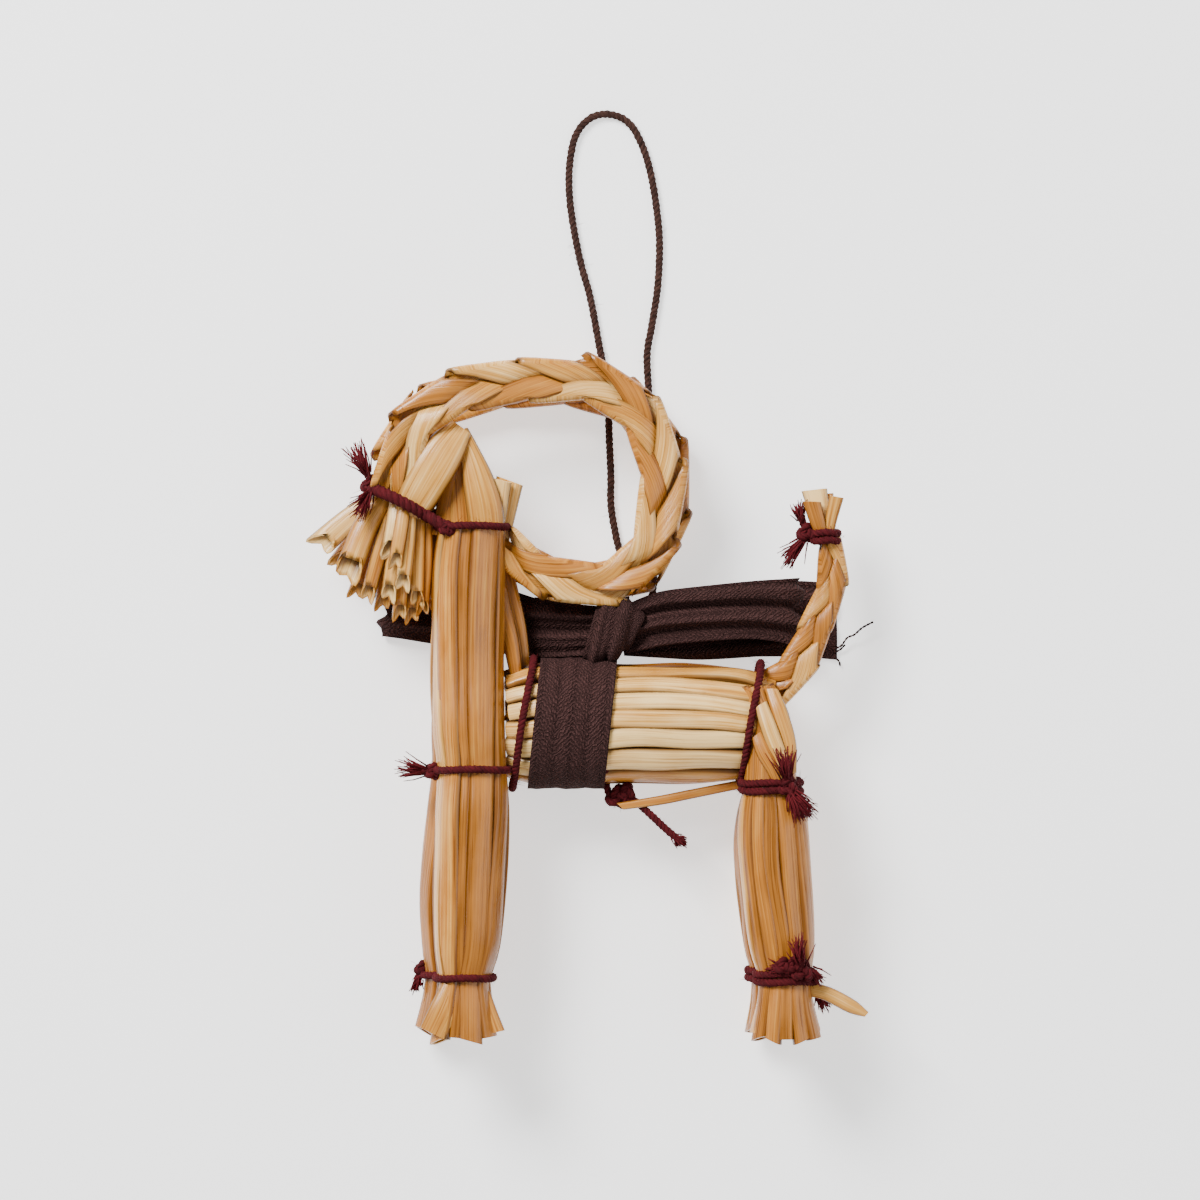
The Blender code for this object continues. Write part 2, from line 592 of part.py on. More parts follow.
def bow_knot():
    """The rounded block of gathered tape in the middle of the bow."""
    low = spot(BACK, *KNOT_LOW)
    high = spot(BACK, *KNOT_HIGH)
    shape = bmesh.new()
    bmesh.ops.create_cube(shape, size=1.0)
    bmesh.ops.scale(shape, verts=shape.verts, vec=high - low)
    bmesh.ops.translate(shape, verts=shape.verts, vec=(high + low) / 2)
    bmesh.ops.bevel(
        shape, geom=shape.edges, offset=KNOT_ROUNDING, segments=1, profile=0.5, affect="EDGES", material=-1)
    return shape


def mesh_from(shapes, name):
    """One mesh that holds all the shapes."""
    whole = bmesh.new()
    for shape in shapes:
        part = bpy.data.meshes.new("part")
        shape.to_mesh(part)
        shape.free()
        whole.from_mesh(part)
        bpy.data.meshes.remove(part)
    mesh = bpy.data.meshes.new(name)
    whole.to_mesh(mesh)
    whole.free()
    return mesh


def material(finish):
    """The plain material of a finish, made once."""
    name, colour, roughness = finish
    found = bpy.data.materials.get(name)
    if found:
        return found
    made = bpy.data.materials.new(name)
    made.use_nodes = True
    shader = made.node_tree.nodes["Principled BSDF"]
    shader.inputs["Base Color"].default_value = colour
    shader.inputs["Roughness"].default_value = roughness
    shader.inputs["Metallic"].default_value = 0.0
    return made


def solid(name, shapes, finish):
    """A named object of the shapes, fused into one body."""
    mesh = mesh_from(shapes[:1], name)
    mesh.materials.append(material(finish))
    piece = bpy.data.objects.new(name, mesh)
    GOAT.objects.link(piece)
    if len(shapes) > 1:
        others = bpy.data.objects.new(name + "_added", mesh_from(shapes[1:], name + "_added"))
        others.hide_render = True
        others.display_type = "WIRE"
        ADDED.objects.link(others)
        union = piece.modifiers.new("union", "BOOLEAN")
        union.operation = "UNION"
        union.solver = "EXACT"
        union.use_self = True
        union.object = others
    return piece


def leg_ring(rows, index, base_x, height, side):
    """The yarn ring at one row of a half bundle."""
    centre, half_width, half_depth = leg_station(rows[index], base_x, height, side)
    return ring(centre, Vector((1, 0, 0)), half_width, half_depth)


def head_straw(rows, depth, thickness):
    """A straw that folds over the head at one depth."""
    points = [spot(BEHIND_NECK, x, y, depth) for x, y, width in rows]
    return straw(points, [row[2] * MM for row in rows], thickness)


def make_front_bundle():
    """Beard, head, neck and front legs."""
    shapes = [half_bundle(FRONT_ROWS, FRONT_X, FRONT_HEIGHT, side) for side in (1, -1)]
    for depth in HEAD_DEPTHS:
        shapes.append(head_straw(HEAD_OUTER, depth, HEAD_STRAW_THICKNESS))
    for rows in (HEAD_INNER, HEAD_BROW):
        for depth in HEAD_INSIDE_DEPTHS:
            shapes.append(head_straw(rows, depth, HEAD_INSIDE_THICKNESS))
    for rows in BEARD:
        shapes.append(straw_by_pixels(BEHIND_NECK, rows, BEARD_THICKNESS))
    for anchor, group in ((BEHIND_NECK, NECK_ENDS), (SHOULDERS, SHOULDER), (FRONT_FOOT, FOOT_STRAWS)):
        for rows in group:
            shapes.append(straw_by_pixels(anchor, rows, STRAW_THICKNESS))
    return solid("head_and_front_legs", shapes, STRAW)


def make_hind_bundle():
    """Body and hind legs, with the straw that strays from the hind foot."""
    shapes = [bundle(body_stations(), BODY_STRAWS, math.pi / 2, BODY_JAG)]
    shapes += [half_bundle(HIND_ROWS, HIND_X, HIND_HEIGHT, side) for side in (1, -1)]
    shapes.append(straw_by_pixels(HIND_FOOT, STRAY_STRAW, STRAY_THICKNESS))
    return solid("torso_and_hind_legs", shapes, STRAW)


def make_plaits():
    """Both horns and the tail."""
    solid("horn_near", plait([spot(SHOULDERS, *row) for row in HORN_NEAR]), STRAW)
    solid("horn_far", plait([spot(SHOULDERS, *row) for row in HORN_FAR]), STRAW)
    tail = plait([spot(RUMP, *row) for row in TAIL], finish=TAIL_FINISH)
    tail += [straw_by_pixels(RUMP, rows, TAIL_END_THICKNESS) for rows in TAIL_ENDS]
    solid("tail_plait", tail, STRAW)


def slanted_ring(x, slant):
    """A yarn ring round the body that leans along it."""
    sections = [body_section(x - slant), body_section(x + slant)]
    height = max(section[0] for section in sections)
    depth = max(section[1] for section in sections)
    centre = Vector((x, BODY_Y, MIDDLE_Z))
    return ring(centre, Vector((0, 1, 0)), height, depth, BODY_RING_POINTS, slant, BODY_TIE_SQUARENESS)


def make_body_ties():
    """The slanted yarns round the chest and rump and the belly tie with its loose end."""
    solid("chest_tie", [slanted_ring(CHEST_TIE_X, CHEST_TIE_SLANT)], YARN)
    solid("rump_tie", [slanted_ring(RUMP_TIE_X, RUMP_TIE_SLANT)], YARN)
    height = BODY_HALF_HEIGHT - YARN_BUILD - CLEARANCE
    depth = BODY_HALF_DEPTH - YARN_BUILD - CLEARANCE
    centre = Vector((BELLY_TIE_X, BODY_Y, MIDDLE_Z))
    bottom = centre - Vector((0, height + CLEARANCE + YARN_RADIUS, 0))
    hang = [bottom + Vector(step) * MM for step in BELLY_YARN_HANG]
    end = [bottom + Vector(step) * MM for step in BELLY_YARN_END]
    loop = ring(centre, Vector((0, 1, 0)), height, depth, BODY_RING_POINTS)
    solid("belly_tie", [loop, yarn(hang), ball(hang[-1], BELLY_KNOT_RADIUS), yarn(end)], YARN)


def make_head_ties():
    """The yarn round the beard with its knot and ends, and the yarn round the neck."""
    centre = spot(BEHIND_NECK, *MUZZLE_PIXEL, MUZZLE_DEPTH)
    shapes = [ring(
        centre, MUZZLE_ALONG.normalized(), MUZZLE_HALF_WIDTH, MUZZLE_HALF_DEPTH,
        squareness=MUZZLE_SQUARENESS, count=BODY_RING_POINTS)]
    shapes += knot_and_yarns(BEHIND_NECK, MUZZLE_KNOT, MUZZLE_YARNS)
    solid("muzzle_tie", shapes, YARN)
    near, half_width, half_depth = leg_station(FRONT_ROWS[NECK_ROW], FRONT_X, FRONT_HEIGHT, 1)
    far = leg_station(FRONT_ROWS[NECK_ROW], FRONT_X, FRONT_HEIGHT, -1)[0]
    half_depth += (near.z - far.z) / 2
    collar = ring(
        (near + far) / 2, Vector((1, 0, 0)), half_width, half_depth,
        squareness=NECK_SQUARENESS, count=BODY_RING_POINTS)
    solid("neck_tie", [collar] + knot_and_yarns(BEHIND_NECK, NECK_KNOT, ()), YARN)


def make_leg_ties():
    """The yarn round the top and the foot of each leg, with knots and ends."""
    front = (FRONT_ROWS, FRONT_X, FRONT_HEIGHT)
    hind = (HIND_ROWS, HIND_X, HIND_HEIGHT)
    places = (
        ("front_leg_tie", front, FRONT_TIE_ROW),
        ("front_foot_tie", front, FRONT_FOOT_ROW),
        ("hind_leg_tie", hind, HIND_TIE_ROW),
        ("hind_foot_tie", hind, HIND_FOOT_ROW),
    )
    for stem, (rows, base_x, height), index in places:
        for side, word in ((1, "near"), (-1, "far")):
            name = stem + "_" + word
            shapes = [leg_ring(rows, index, base_x, height, side)]
            if name in LEG_KNOTS:
                anchor, knot = LEG_KNOTS[name]
                shapes += knot_and_yarns(anchor, knot, LEG_YARNS[name])
            solid(name, shapes, YARN)


def make_tail_tie():
    """The yarn round the tip of the tail, with its knot and ends."""
    shapes = [ring(spot(RUMP, *TAIL_TIE_SPOT), Vector((1, 0, 0)), TAIL_TIE_HALF, TAIL_TIE_HALF)]
    shapes += knot_and_yarns(RUMP, TAIL_KNOT, TAIL_YARNS)
    solid("tail_tie", shapes, YARN)


def make_ribbon():
    """Band, knot, two loops and two ends of the tape."""
    shapes = [belly_band(), bow_knot()]
    for rows in (BOW_LEFT, BOW_RIGHT, TAPE_END_RIGHT, TAPE_END_LEFT):
        shapes.append(tape(rows))
    solid("belly_ribbon", shapes, TAPE)


def make_hanging_loop():
    """The cord of the hanging loop, as it lies on the table."""
    route = even_route([spot(BACK, *row) for row in LOOP_ROUTE], CORD_POINTS)
    curve = bpy.data.curves.new("hanging_loop", "CURVE")
    curve.dimensions = "3D"
    curve.bevel_depth = CORD_DIAMETER / 2
    curve.bevel_resolution = 2
    curve.use_fill_caps = True
    line = curve.splines.new("POLY")
    line.points.add(len(route) - 1)
    for point, place in zip(line.points, route):
        point.co = (*place, 1.0)
    curve.materials.append(material(CORD))
    loop = bpy.data.objects.new("hanging_loop", curve)
    GOAT.objects.link(loop)


def make_goat():
    """All the pieces of the ornament."""
    make_front_bundle()
    make_hind_bundle()
    make_plaits()
    solid("loose_belly_straw", [straw_by_pixels(BELLY, LOOSE_STRAW, LOOSE_THICKNESS)], STRAW)
    make_head_ties()
    make_body_ties()
    make_leg_ties()
    make_tail_tie()
    make_ribbon()
    make_hanging_loop()


for old in list(bpy.data.objects):
    bpy.data.objects.remove(old)
GOAT = bpy.data.collections.new("straw_goat")
ADDED = bpy.data.collections.new("added_shapes")
for collection in (GOAT, ADDED):
    bpy.context.scene.collection.children.link(collection)
make_goat()
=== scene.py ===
"""A plaited straw goat ornament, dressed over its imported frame.

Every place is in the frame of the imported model: X runs from the beard to the rump, Y from the feet
to the horns and Z up from the table. Places that follow the photograph are given as pixel x,
pixel y and height in millimetres, and at() turns them into metres.
"""

from __future__ import annotations

import logging
import math
import random
from dataclasses import dataclass, field
from enum import Enum
from typing import Any, Callable, Iterable, Optional, Sequence

import bmesh
import bpy
from mathutils import Matrix, Vector

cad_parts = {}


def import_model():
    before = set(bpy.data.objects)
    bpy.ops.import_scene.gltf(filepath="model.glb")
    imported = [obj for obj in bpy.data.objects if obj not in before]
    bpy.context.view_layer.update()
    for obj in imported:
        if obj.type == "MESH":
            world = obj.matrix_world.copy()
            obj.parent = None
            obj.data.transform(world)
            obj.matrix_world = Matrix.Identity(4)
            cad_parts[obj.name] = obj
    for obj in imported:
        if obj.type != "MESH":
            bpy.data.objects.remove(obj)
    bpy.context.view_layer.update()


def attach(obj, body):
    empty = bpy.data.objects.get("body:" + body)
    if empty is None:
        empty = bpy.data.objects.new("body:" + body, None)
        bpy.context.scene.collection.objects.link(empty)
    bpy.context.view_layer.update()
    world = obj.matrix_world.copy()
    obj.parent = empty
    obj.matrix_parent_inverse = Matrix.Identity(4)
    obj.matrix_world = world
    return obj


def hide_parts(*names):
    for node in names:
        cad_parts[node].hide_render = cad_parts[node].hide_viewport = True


LOG = logging.getLogger("straw_goat")

MM = 0.001
PIXEL = 0.18 * MM
MIDDLE_PIXEL = (592.0, 696.0)
TABLE_GAP = 0.03 * MM
UP = Vector((0.0, 0.0, 1.0))
ACROSS = Vector((1.0, 0.0, 0.0))
ALONG_Y = Vector((0.0, 1.0, 0.0))
FULL_TURN = 2.0 * math.pi
CREASE_REACH = 0.35  # half width of a straw's groove, as a share of the straw's half width
FLAT_WALL = 2.2  # how much thicker, as a share, the wall is on a straw's flat sides than on its edges
HIDDEN_TAPE = 30.0 * MM  # tape that is out of sight in the knot of the bow

Row = Sequence[float]
Cut = tuple[Vector, Vector, Vector]  # of a tape: its middle, half its width as a vector, and the way out


class Side(Enum):
    """The half of a bundle that faces the camera, and the half on the table."""

    NEAR = 1
    FAR = -1


class End(Enum):
    """How a tube ends on both sides."""

    HOLLOW = "hollow"
    CLOSED = "closed"


def at(pixel_x: float, pixel_y: float, depth: float) -> Vector:
    """The point in metres of a pixel of the photograph, depth millimetres above the table."""
    return Vector(((pixel_x - MIDDLE_PIXEL[0]) * PIXEL, (MIDDLE_PIXEL[1] - pixel_y) * PIXEL, depth * MM))


def mix(a: float, b: float, share: float) -> float:
    """The value that lies a share of the way from a to b."""
    return a + (b - a) * share


def flatter(value: float, power: float) -> float:
    """A sine or cosine brought nearer to 1 or -1 by a power below 1, which makes a circle a rounded box."""
    return math.copysign(abs(value) ** power, value)


def rounded(angle: float, power: float = 1.0) -> tuple[float, float]:
    """The cosine and the sine of an angle in radians, on a circle or on a rounded box."""
    return flatter(math.cos(angle), power), flatter(math.sin(angle), power)


def level_rows(depth: float, *places: tuple[float, float]) -> tuple[Row, ...]:
    """Rows of pixel x and pixel y at one depth."""
    return tuple((x, y, depth) for x, y in places)


def spline(rows: Sequence[Row], place: float) -> list[float]:
    """Read a smooth curve through rows of numbers.

    Args:
        rows: The rows that the curve passes through.
        place: How many rows have been passed, with a fraction.

    Returns:
        The numbers at that place.
    """
    index = min(max(int(place), 0), len(rows) - 2)
    share = place - index
    start, end = rows[index], rows[index + 1]
    before = rows[index - 1] if index > 0 else [2 * a - b for a, b in zip(start, end)]
    after = rows[index + 2] if index + 2 < len(rows) else [2 * b - a for a, b in zip(start, end)]
    found = []
    for a, b, c, d in zip(before, start, end, after):
        value = 2 * b + (c - a) * share + (2 * a - 5 * b + 4 * c - d) * share**2
        found.append((value + (3 * b - a - 3 * c + d) * share**3) / 2)
    return found


def even_rows(rows: Sequence[Row], step: float, fine: int = 14) -> list[list[float]]:
    """Read a smooth curve through rows at equal distances.

    Args:
        rows: Rows whose first three numbers are a point in metres.
        step: The wanted distance between the rows that come back.
        fine: How many times each stretch is read to measure it.

    Returns:
        The rows at equal distances, the first and the last included.
    """
    read = [spline(rows, k / fine) for k in range((len(rows) - 1) * fine + 1)]
    reach = [0.0]
    for a, b in zip(read, read[1:]):
        reach.append(reach[-1] + math.dist(a[:3], b[:3]))
    count = max(int(round(reach[-1] / step)), 2)
    found, index = [], 0
    for k in range(count + 1):
        goal = reach[-1] * k / count
        while index < len(reach) - 2 and reach[index + 1] < goal:
            index += 1
        share = (goal - reach[index]) / max(reach[index + 1] - reach[index], 1e-12)
        found.append([mix(a, b, share) for a, b in zip(read[index], read[index + 1])])
    return found


def pixel_rows(rows: Iterable[Row]) -> list[list[float]]:
    """Rows of pixel x, pixel y, depth and further numbers, with their points in metres."""
    return [[*at(row[0], row[1], row[2]), *row[3:]] for row in rows]


def pixel_points(rows: Iterable[Row]) -> list[Vector]:
    """The points in metres of rows of pixel x, pixel y and depth."""
    return [at(*row) for row in rows]


def line_length(points: Sequence[Vector]) -> float:
    """The length of a line of points."""
    return sum((b - a).length for a, b in zip(points, points[1:]))


def directions(points: Sequence[Vector]) -> list[Vector]:
    """The unit direction of a line of points at each of them."""
    last = len(points) - 1
    return [(points[min(i + 1, last)] - points[max(i - 1, 0)]).normalized() for i in range(last + 1)]


@dataclass
class Station:
    """One place along a tube: its middle, the way its flat side faces, its two sizes, and the direction of
    its width where that isn't square to the tube.
    """

    centre: Vector
    normal: Vector
    width: float
    thickness: float
    wide: Optional[Vector] = None


@dataclass
class Tube:
    """A flattened tube that is extruded ring by ring along its stations.

    Attributes:
        stations: The places that it passes.
        seed: A number that sets its own pattern in the material.
        tone: 0 for dark orange-brown and 1 for cream.
        shade: 0 in the light and 1 deep inside.
        segments: Corners of the ring.
        squareness: 1 for an oval and less for a flatter face.
        crease: How deep the groove along the flat side is.
        end: How it starts and ends.
        slants: How far the start and the end are cut off at an angle.
        gapes: How far the flat side that faces out is cut back at the start and the end.
        notch: How far the corners of the end stand out, in metres.
        wall: The share of the section that is wall at a hollow end.
        hollow: How deep a hollow end is, in metres.
    """

    stations: list[Station]
    seed: float = 0.0
    tone: float = 0.5
    shade: float = 0.0
    segments: int = 12
    squareness: float = 0.68
    crease: float = 0.05
    end: End = End.HOLLOW
    slants: tuple[float, float] = (0.0, 0.0)
    gapes: tuple[float, float] = (0.0, 0.0)
    notch: float = 0.0
    wall: float = 0.2
    hollow: float = 2.2 * MM

    def places(self) -> list[Matrix]:
        """The matrix that puts the unit ring at each station.

        Returns:
            One matrix a station.
        """
        found = []
        ways = directions([s.centre for s in self.stations])
        last = len(self.stations) - 1
        for index, (station, way) in enumerate(zip(self.stations, ways)):
            along = way if station.wide is None else station.wide
            normal = (station.normal - along * station.normal.dot(along)).normalized()
            side = (way.cross(normal) if station.wide is None else along) * station.width / 2
            level = normal * station.thickness / 2
            if index in (0, last):
                side = side + way * self.slants[index > 0] * station.width / 2
                inward = 0.5 if index == 0 else -0.5
                level = level + way * self.gapes[index > 0] * station.thickness * inward
            place = Matrix.Identity(4)
            place.col[0].xyz, place.col[1].xyz = side, level
            place.col[2].xyz, place.col[3].xyz = way, station.centre
            found.append(place)
        return found

    def build(self) -> bmesh.types.BMesh:
        """The tube as a closed mesh with its lie, and its tone and painted shade, on every vertex.

        Returns:
            Its mesh.
        """
        shape = bmesh.new()
        lie = shape.verts.layers.float_vector.new("lie")
        tint = shape.verts.layers.float_vector.new("tint")
        places = self.places()
        ring = bmesh.ops.create_circle(shape, cap_ends=False, segments=self.segments, radius=1.0)["verts"]
        half = self.stations[len(self.stations) // 2].width / 2 / MM
        for vert in ring:
            x, y = vert.co.x, vert.co.y
            groove = self.crease * math.exp(-((x / CREASE_REACH) ** 2))
            vert.co.y = flatter(y, self.squareness) * (1.0 - groove)
            vert[lie] = (x * half, 0.0, self.seed)
            # x keeps the straw's own tone; y is painted shade, and z, the share out to the edge, drives the
            # painted shade between straws
            vert[tint] = (self.tone, self.shade, abs(x))
        bmesh.ops.transform(shape, matrix=places[0], verts=ring)
        first = shape.edges[:]
        edges = first
        for before, place in zip(places, places[1:]):
            verts, edges = self.grow(shape, edges, place @ before.inverted())
            length = (place.translation - before.translation).length / MM
            for vert in verts:
                vert[lie] = vert[lie] + Vector((0.0, length, 0.0))
        if self.notch:
            for vert in {vert for edge in edges for vert in edge.verts}:
                vert.co += places[-1].col[2].xyz * self.notch * (abs(vert[lie].x / half) - 0.6)
        self.finish_end(shape, first, places[0], 1.0, tint)
        self.finish_end(shape, edges, places[-1], -1.0, tint)
        bmesh.ops.recalc_face_normals(shape, faces=shape.faces)
        for vert in shape.verts:
            vert.co.z = max(vert.co.z, TABLE_GAP)
        return shape

    @staticmethod
    def grow(
        shape: bmesh.types.BMesh, edges: list[bmesh.types.BMEdge], move: Matrix
    ) -> tuple[list[bmesh.types.BMVert], list[bmesh.types.BMEdge]]:
        """Extrude a ring of edges and move the new one.

        Args:
            shape: The mesh.
            edges: The ring to extrude.
            move: The matrix that takes the old ring to the new one.

        Returns:
            The new ring's vertices and edges.
        """
        made = bmesh.ops.extrude_edge_only(shape, edges=edges)["geom"]
        verts = [g for g in made if isinstance(g, bmesh.types.BMVert)]
        known = set(verts)
        new = [g for g in made if isinstance(g, bmesh.types.BMEdge) and known.issuperset(g.verts)]
        bmesh.ops.transform(shape, matrix=move, verts=verts)
        return verts, new

    def finish_end(
        self, shape: bmesh.types.BMesh, edges: list[bmesh.types.BMEdge], place: Matrix, inward: float,
        tint: Any,
    ) -> None:
        """Close one end, with a wall and a hollow painted dark with shade where the tube is open.

        Args:
            shape: The mesh.
            edges: The end's ring.
            place: The end's matrix.
            inward: 1 where the tube continues along its way and -1 where it came from.
            tint: The layer of tones and painted shade.
        """
        if self.end is End.HOLLOW:
            for edge in edges:
                edge.smooth = False
            inner = Matrix.Diagonal((1.0 - self.wall, 1.0 - FLAT_WALL * self.wall, 1.0, 1.0))
            verts, edges = self.grow(shape, edges, place @ inner @ place.inverted())
            # The lip ring is the straw's paler inner wall, with a touch of painted shade
            for vert in verts:
                vert[tint] = (self.tone + 0.25, 0.1, 0.0)
            for edge in edges:
                edge.smooth = False
            way = place.col[2].xyz * inward * self.hollow
            verts, edges = self.grow(shape, edges, Matrix.Translation(way))
            # Painted shade: the bottom of the hollow is painted fully dark, where shade falls inside the
            # straw
            for vert in verts:
                vert[tint] = (self.tone, 1.0, 0.0)
        bmesh.ops.edgeloop_fill(shape, edges=edges)


ROUND: dict[str, Any] = {"squareness": 1.0, "crease": 0.0, "end": End.CLOSED}


class Piece:
    """Gathers shapes and makes one shown object from them."""

    def __init__(self, name: str, *nodes: str) -> None:
        """Start an empty piece.

        Args:
            name: The piece's name.
            nodes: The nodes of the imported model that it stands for.
        """
        self.name = name
        self.nodes = nodes
        self.whole = bmesh.new()

    def add(self, shape: bmesh.types.BMesh) -> None:
        """Take over a shape and free it."""
        part = bpy.data.meshes.new("part")
        shape.to_mesh(part)
        shape.free()
        self.whole.from_mesh(part)
        bpy.data.meshes.remove(part)

    def finish(self, material: bpy.types.Material) -> bpy.types.Object:
        """Make the object and tie it to the frame.

        Args:
            material: Its finish.

        Returns:
            The finished object.
        """
        mesh = bpy.data.meshes.new(self.name)
        self.whole.to_mesh(mesh)
        self.whole.free()
        mesh.polygons.foreach_set("use_smooth", [True] * len(mesh.polygons))
        mesh.materials.append(material)
        made = bpy.data.objects.new(self.name, mesh)
        bpy.context.scene.collection.objects.link(made)
        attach(made, "root")
        if self.nodes:
            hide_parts(*self.nodes)
        LOG.info("%s: %d faces", self.name, len(mesh.polygons))
        return made


class Value:
    """A shader socket whose arithmetic adds Math nodes."""

    def __init__(self, tree: bpy.types.NodeTree, socket: Any) -> None:
        """Wrap a socket, or a plain number, of a node tree."""
        self.tree = tree
        self.socket = socket

    def maths(self, operation: str, *others: Any, first: Optional[Any] = None) -> "Value":
        """Add one Math node.

        Args:
            operation: Its operation.
            others: Its further inputs, as values or numbers.
            first: What goes in first, if not this value.

        Returns:
            Its result.
        """
        node = self.tree.nodes.new("ShaderNodeMath")
        node.operation = operation
        inputs = [self if first is None else first, *others]
        for socket, value in zip(node.inputs, inputs):
            if isinstance(value, Value):
                self.tree.links.new(value.socket, socket)
            else:
                socket.default_value = float(value)
        return Value(self.tree, node.outputs[0])

    def __add__(self, other: Any) -> "Value":
        """This value plus the other."""
        return self.maths("ADD", other)

    __radd__ = __add__

    def __sub__(self, other: Any) -> "Value":
        """This value less the other."""
        return self.maths("SUBTRACT", other)

    def __rsub__(self, other: Any) -> "Value":
        """The other less this value."""
        return self.maths("SUBTRACT", self, first=other)

    def __mul__(self, other: Any) -> "Value":
        """This value times the other."""
        return self.maths("MULTIPLY", other)

    __rmul__ = __mul__

    def __truediv__(self, other: Any) -> "Value":
        """This value over the other."""
        return self.maths("DIVIDE", other)

    def __pow__(self, power: Any) -> "Value":
        """This value to a power."""
        return self.maths("POWER", power)

    def sine(self) -> "Value":
        """The sine of this value."""
        return self.maths("SINE")

    def clamped(self) -> "Value":
        """This value held between 0 and 1."""
        return self.maths("MINIMUM", 1.0).maths("MAXIMUM", 0.0)


class Palette:
    """Adds the nodes of one material."""

    def __init__(self, name: str, **constants: Any) -> None:
        """Make a material.

        Args:
            name: Its name.
            constants: Values of its shader's sockets, with underscores for spaces.
        """
        self.material = bpy.data.materials.new(name)
        self.material.use_nodes = True
        self.tree = self.material.node_tree
        self.shader = self.tree.nodes["Principled BSDF"]
        for key, value in constants.items():
            self.shader.inputs[key.replace("_", " ")].default_value = value

    def node(self, kind: str, settings: Optional[dict[str, Any]] = None, **inputs: Any) -> bpy.types.Node:
        """Add a node.

        Args:
            kind: Its type.
            settings: Properties that are set first; stops fills a colour ramp.
            inputs: Values or links of its sockets, by name or as in_ and a number.

        Returns:
            The node.
        """
        made = self.tree.nodes.new("ShaderNode" + kind)
        for key, value in (settings or {}).items():
            if key == "stops":
                self.fill_ramp(made.color_ramp, value)
            else:
                setattr(made, key, value)
        for key, value in inputs.items():
            socket = made.inputs[int(key[3:]) if key.startswith("in_") else key.replace("_", " ")]
            if isinstance(value, Value):
                self.tree.links.new(value.socket, socket)
            else:
                socket.default_value = value
        return made

    @staticmethod
    def fill_ramp(ramp: bpy.types.ColorRamp, stops: Sequence[tuple[float, tuple[float, ...]]]) -> None:
        """Give a colour ramp its stops, as places and colours.

        Args:
            ramp: The ramp.
            stops: Its stops.
        """
        while len(ramp.elements) < len(stops):
            ramp.elements.new(0.5)
        for element, (place, colour) in zip(ramp.elements, stops):
            element.position = place
            element.color = (*colour, 1.0)

    def out(self, node: bpy.types.Node, name: Any = 0) -> Value:
        """One output of a node as a value."""
        return Value(self.tree, node.outputs[name])

    def attribute(self, name: str) -> tuple[Value, Value, Value]:
        """The three numbers of a vector attribute."""
        read = self.node("Attribute", {"attribute_name": name, "attribute_type": "GEOMETRY"})
        parts = self.node("SeparateXYZ", in_0=self.out(read, "Vector"))
        return self.out(parts, 0), self.out(parts, 1), self.out(parts, 2)

    def noise(self, x: Any, y: Any, z: Any, scale: float = 1.0, detail: float = 2.0) -> Value:
        """Noise at a place made from three values."""
        place = self.node("CombineXYZ", in_0=x, in_1=y, in_2=z)
        made = self.node("TexNoise", {}, Vector=self.out(place), Scale=scale, Detail=detail, Roughness=0.6)
        return self.out(made, "Fac")

    def ramp(self, value: Value, stops: Sequence[tuple[float, tuple[float, ...]]]) -> Value:
        """The colour of a value on a ramp."""
        return self.out(self.node("ValToRGB", {"stops": stops}, Fac=value), "Color")

    def blend(self, share: Any, a: Any, b: Any, how: str = "MIX") -> Value:
        """Two colours mixed by a share."""
        settings = {"data_type": "RGBA", "blend_type": how}
        return self.out(self.node("Mix", settings, in_0=share, in_6=a, in_7=b), 2)

    def connect(self, value: Value, socket: str) -> None:
        """Lead a value into one of the shader's sockets."""
        self.tree.links.new(value.socket, self.shader.inputs[socket])

    def bump(self, height: Value, strength: float, distance: float) -> None:
        """Give the surface relief from a height."""
        made = self.node("Bump", {}, Strength=strength, Distance=distance, Height=height)
        self.connect(self.out(made, "Normal"), "Normal")


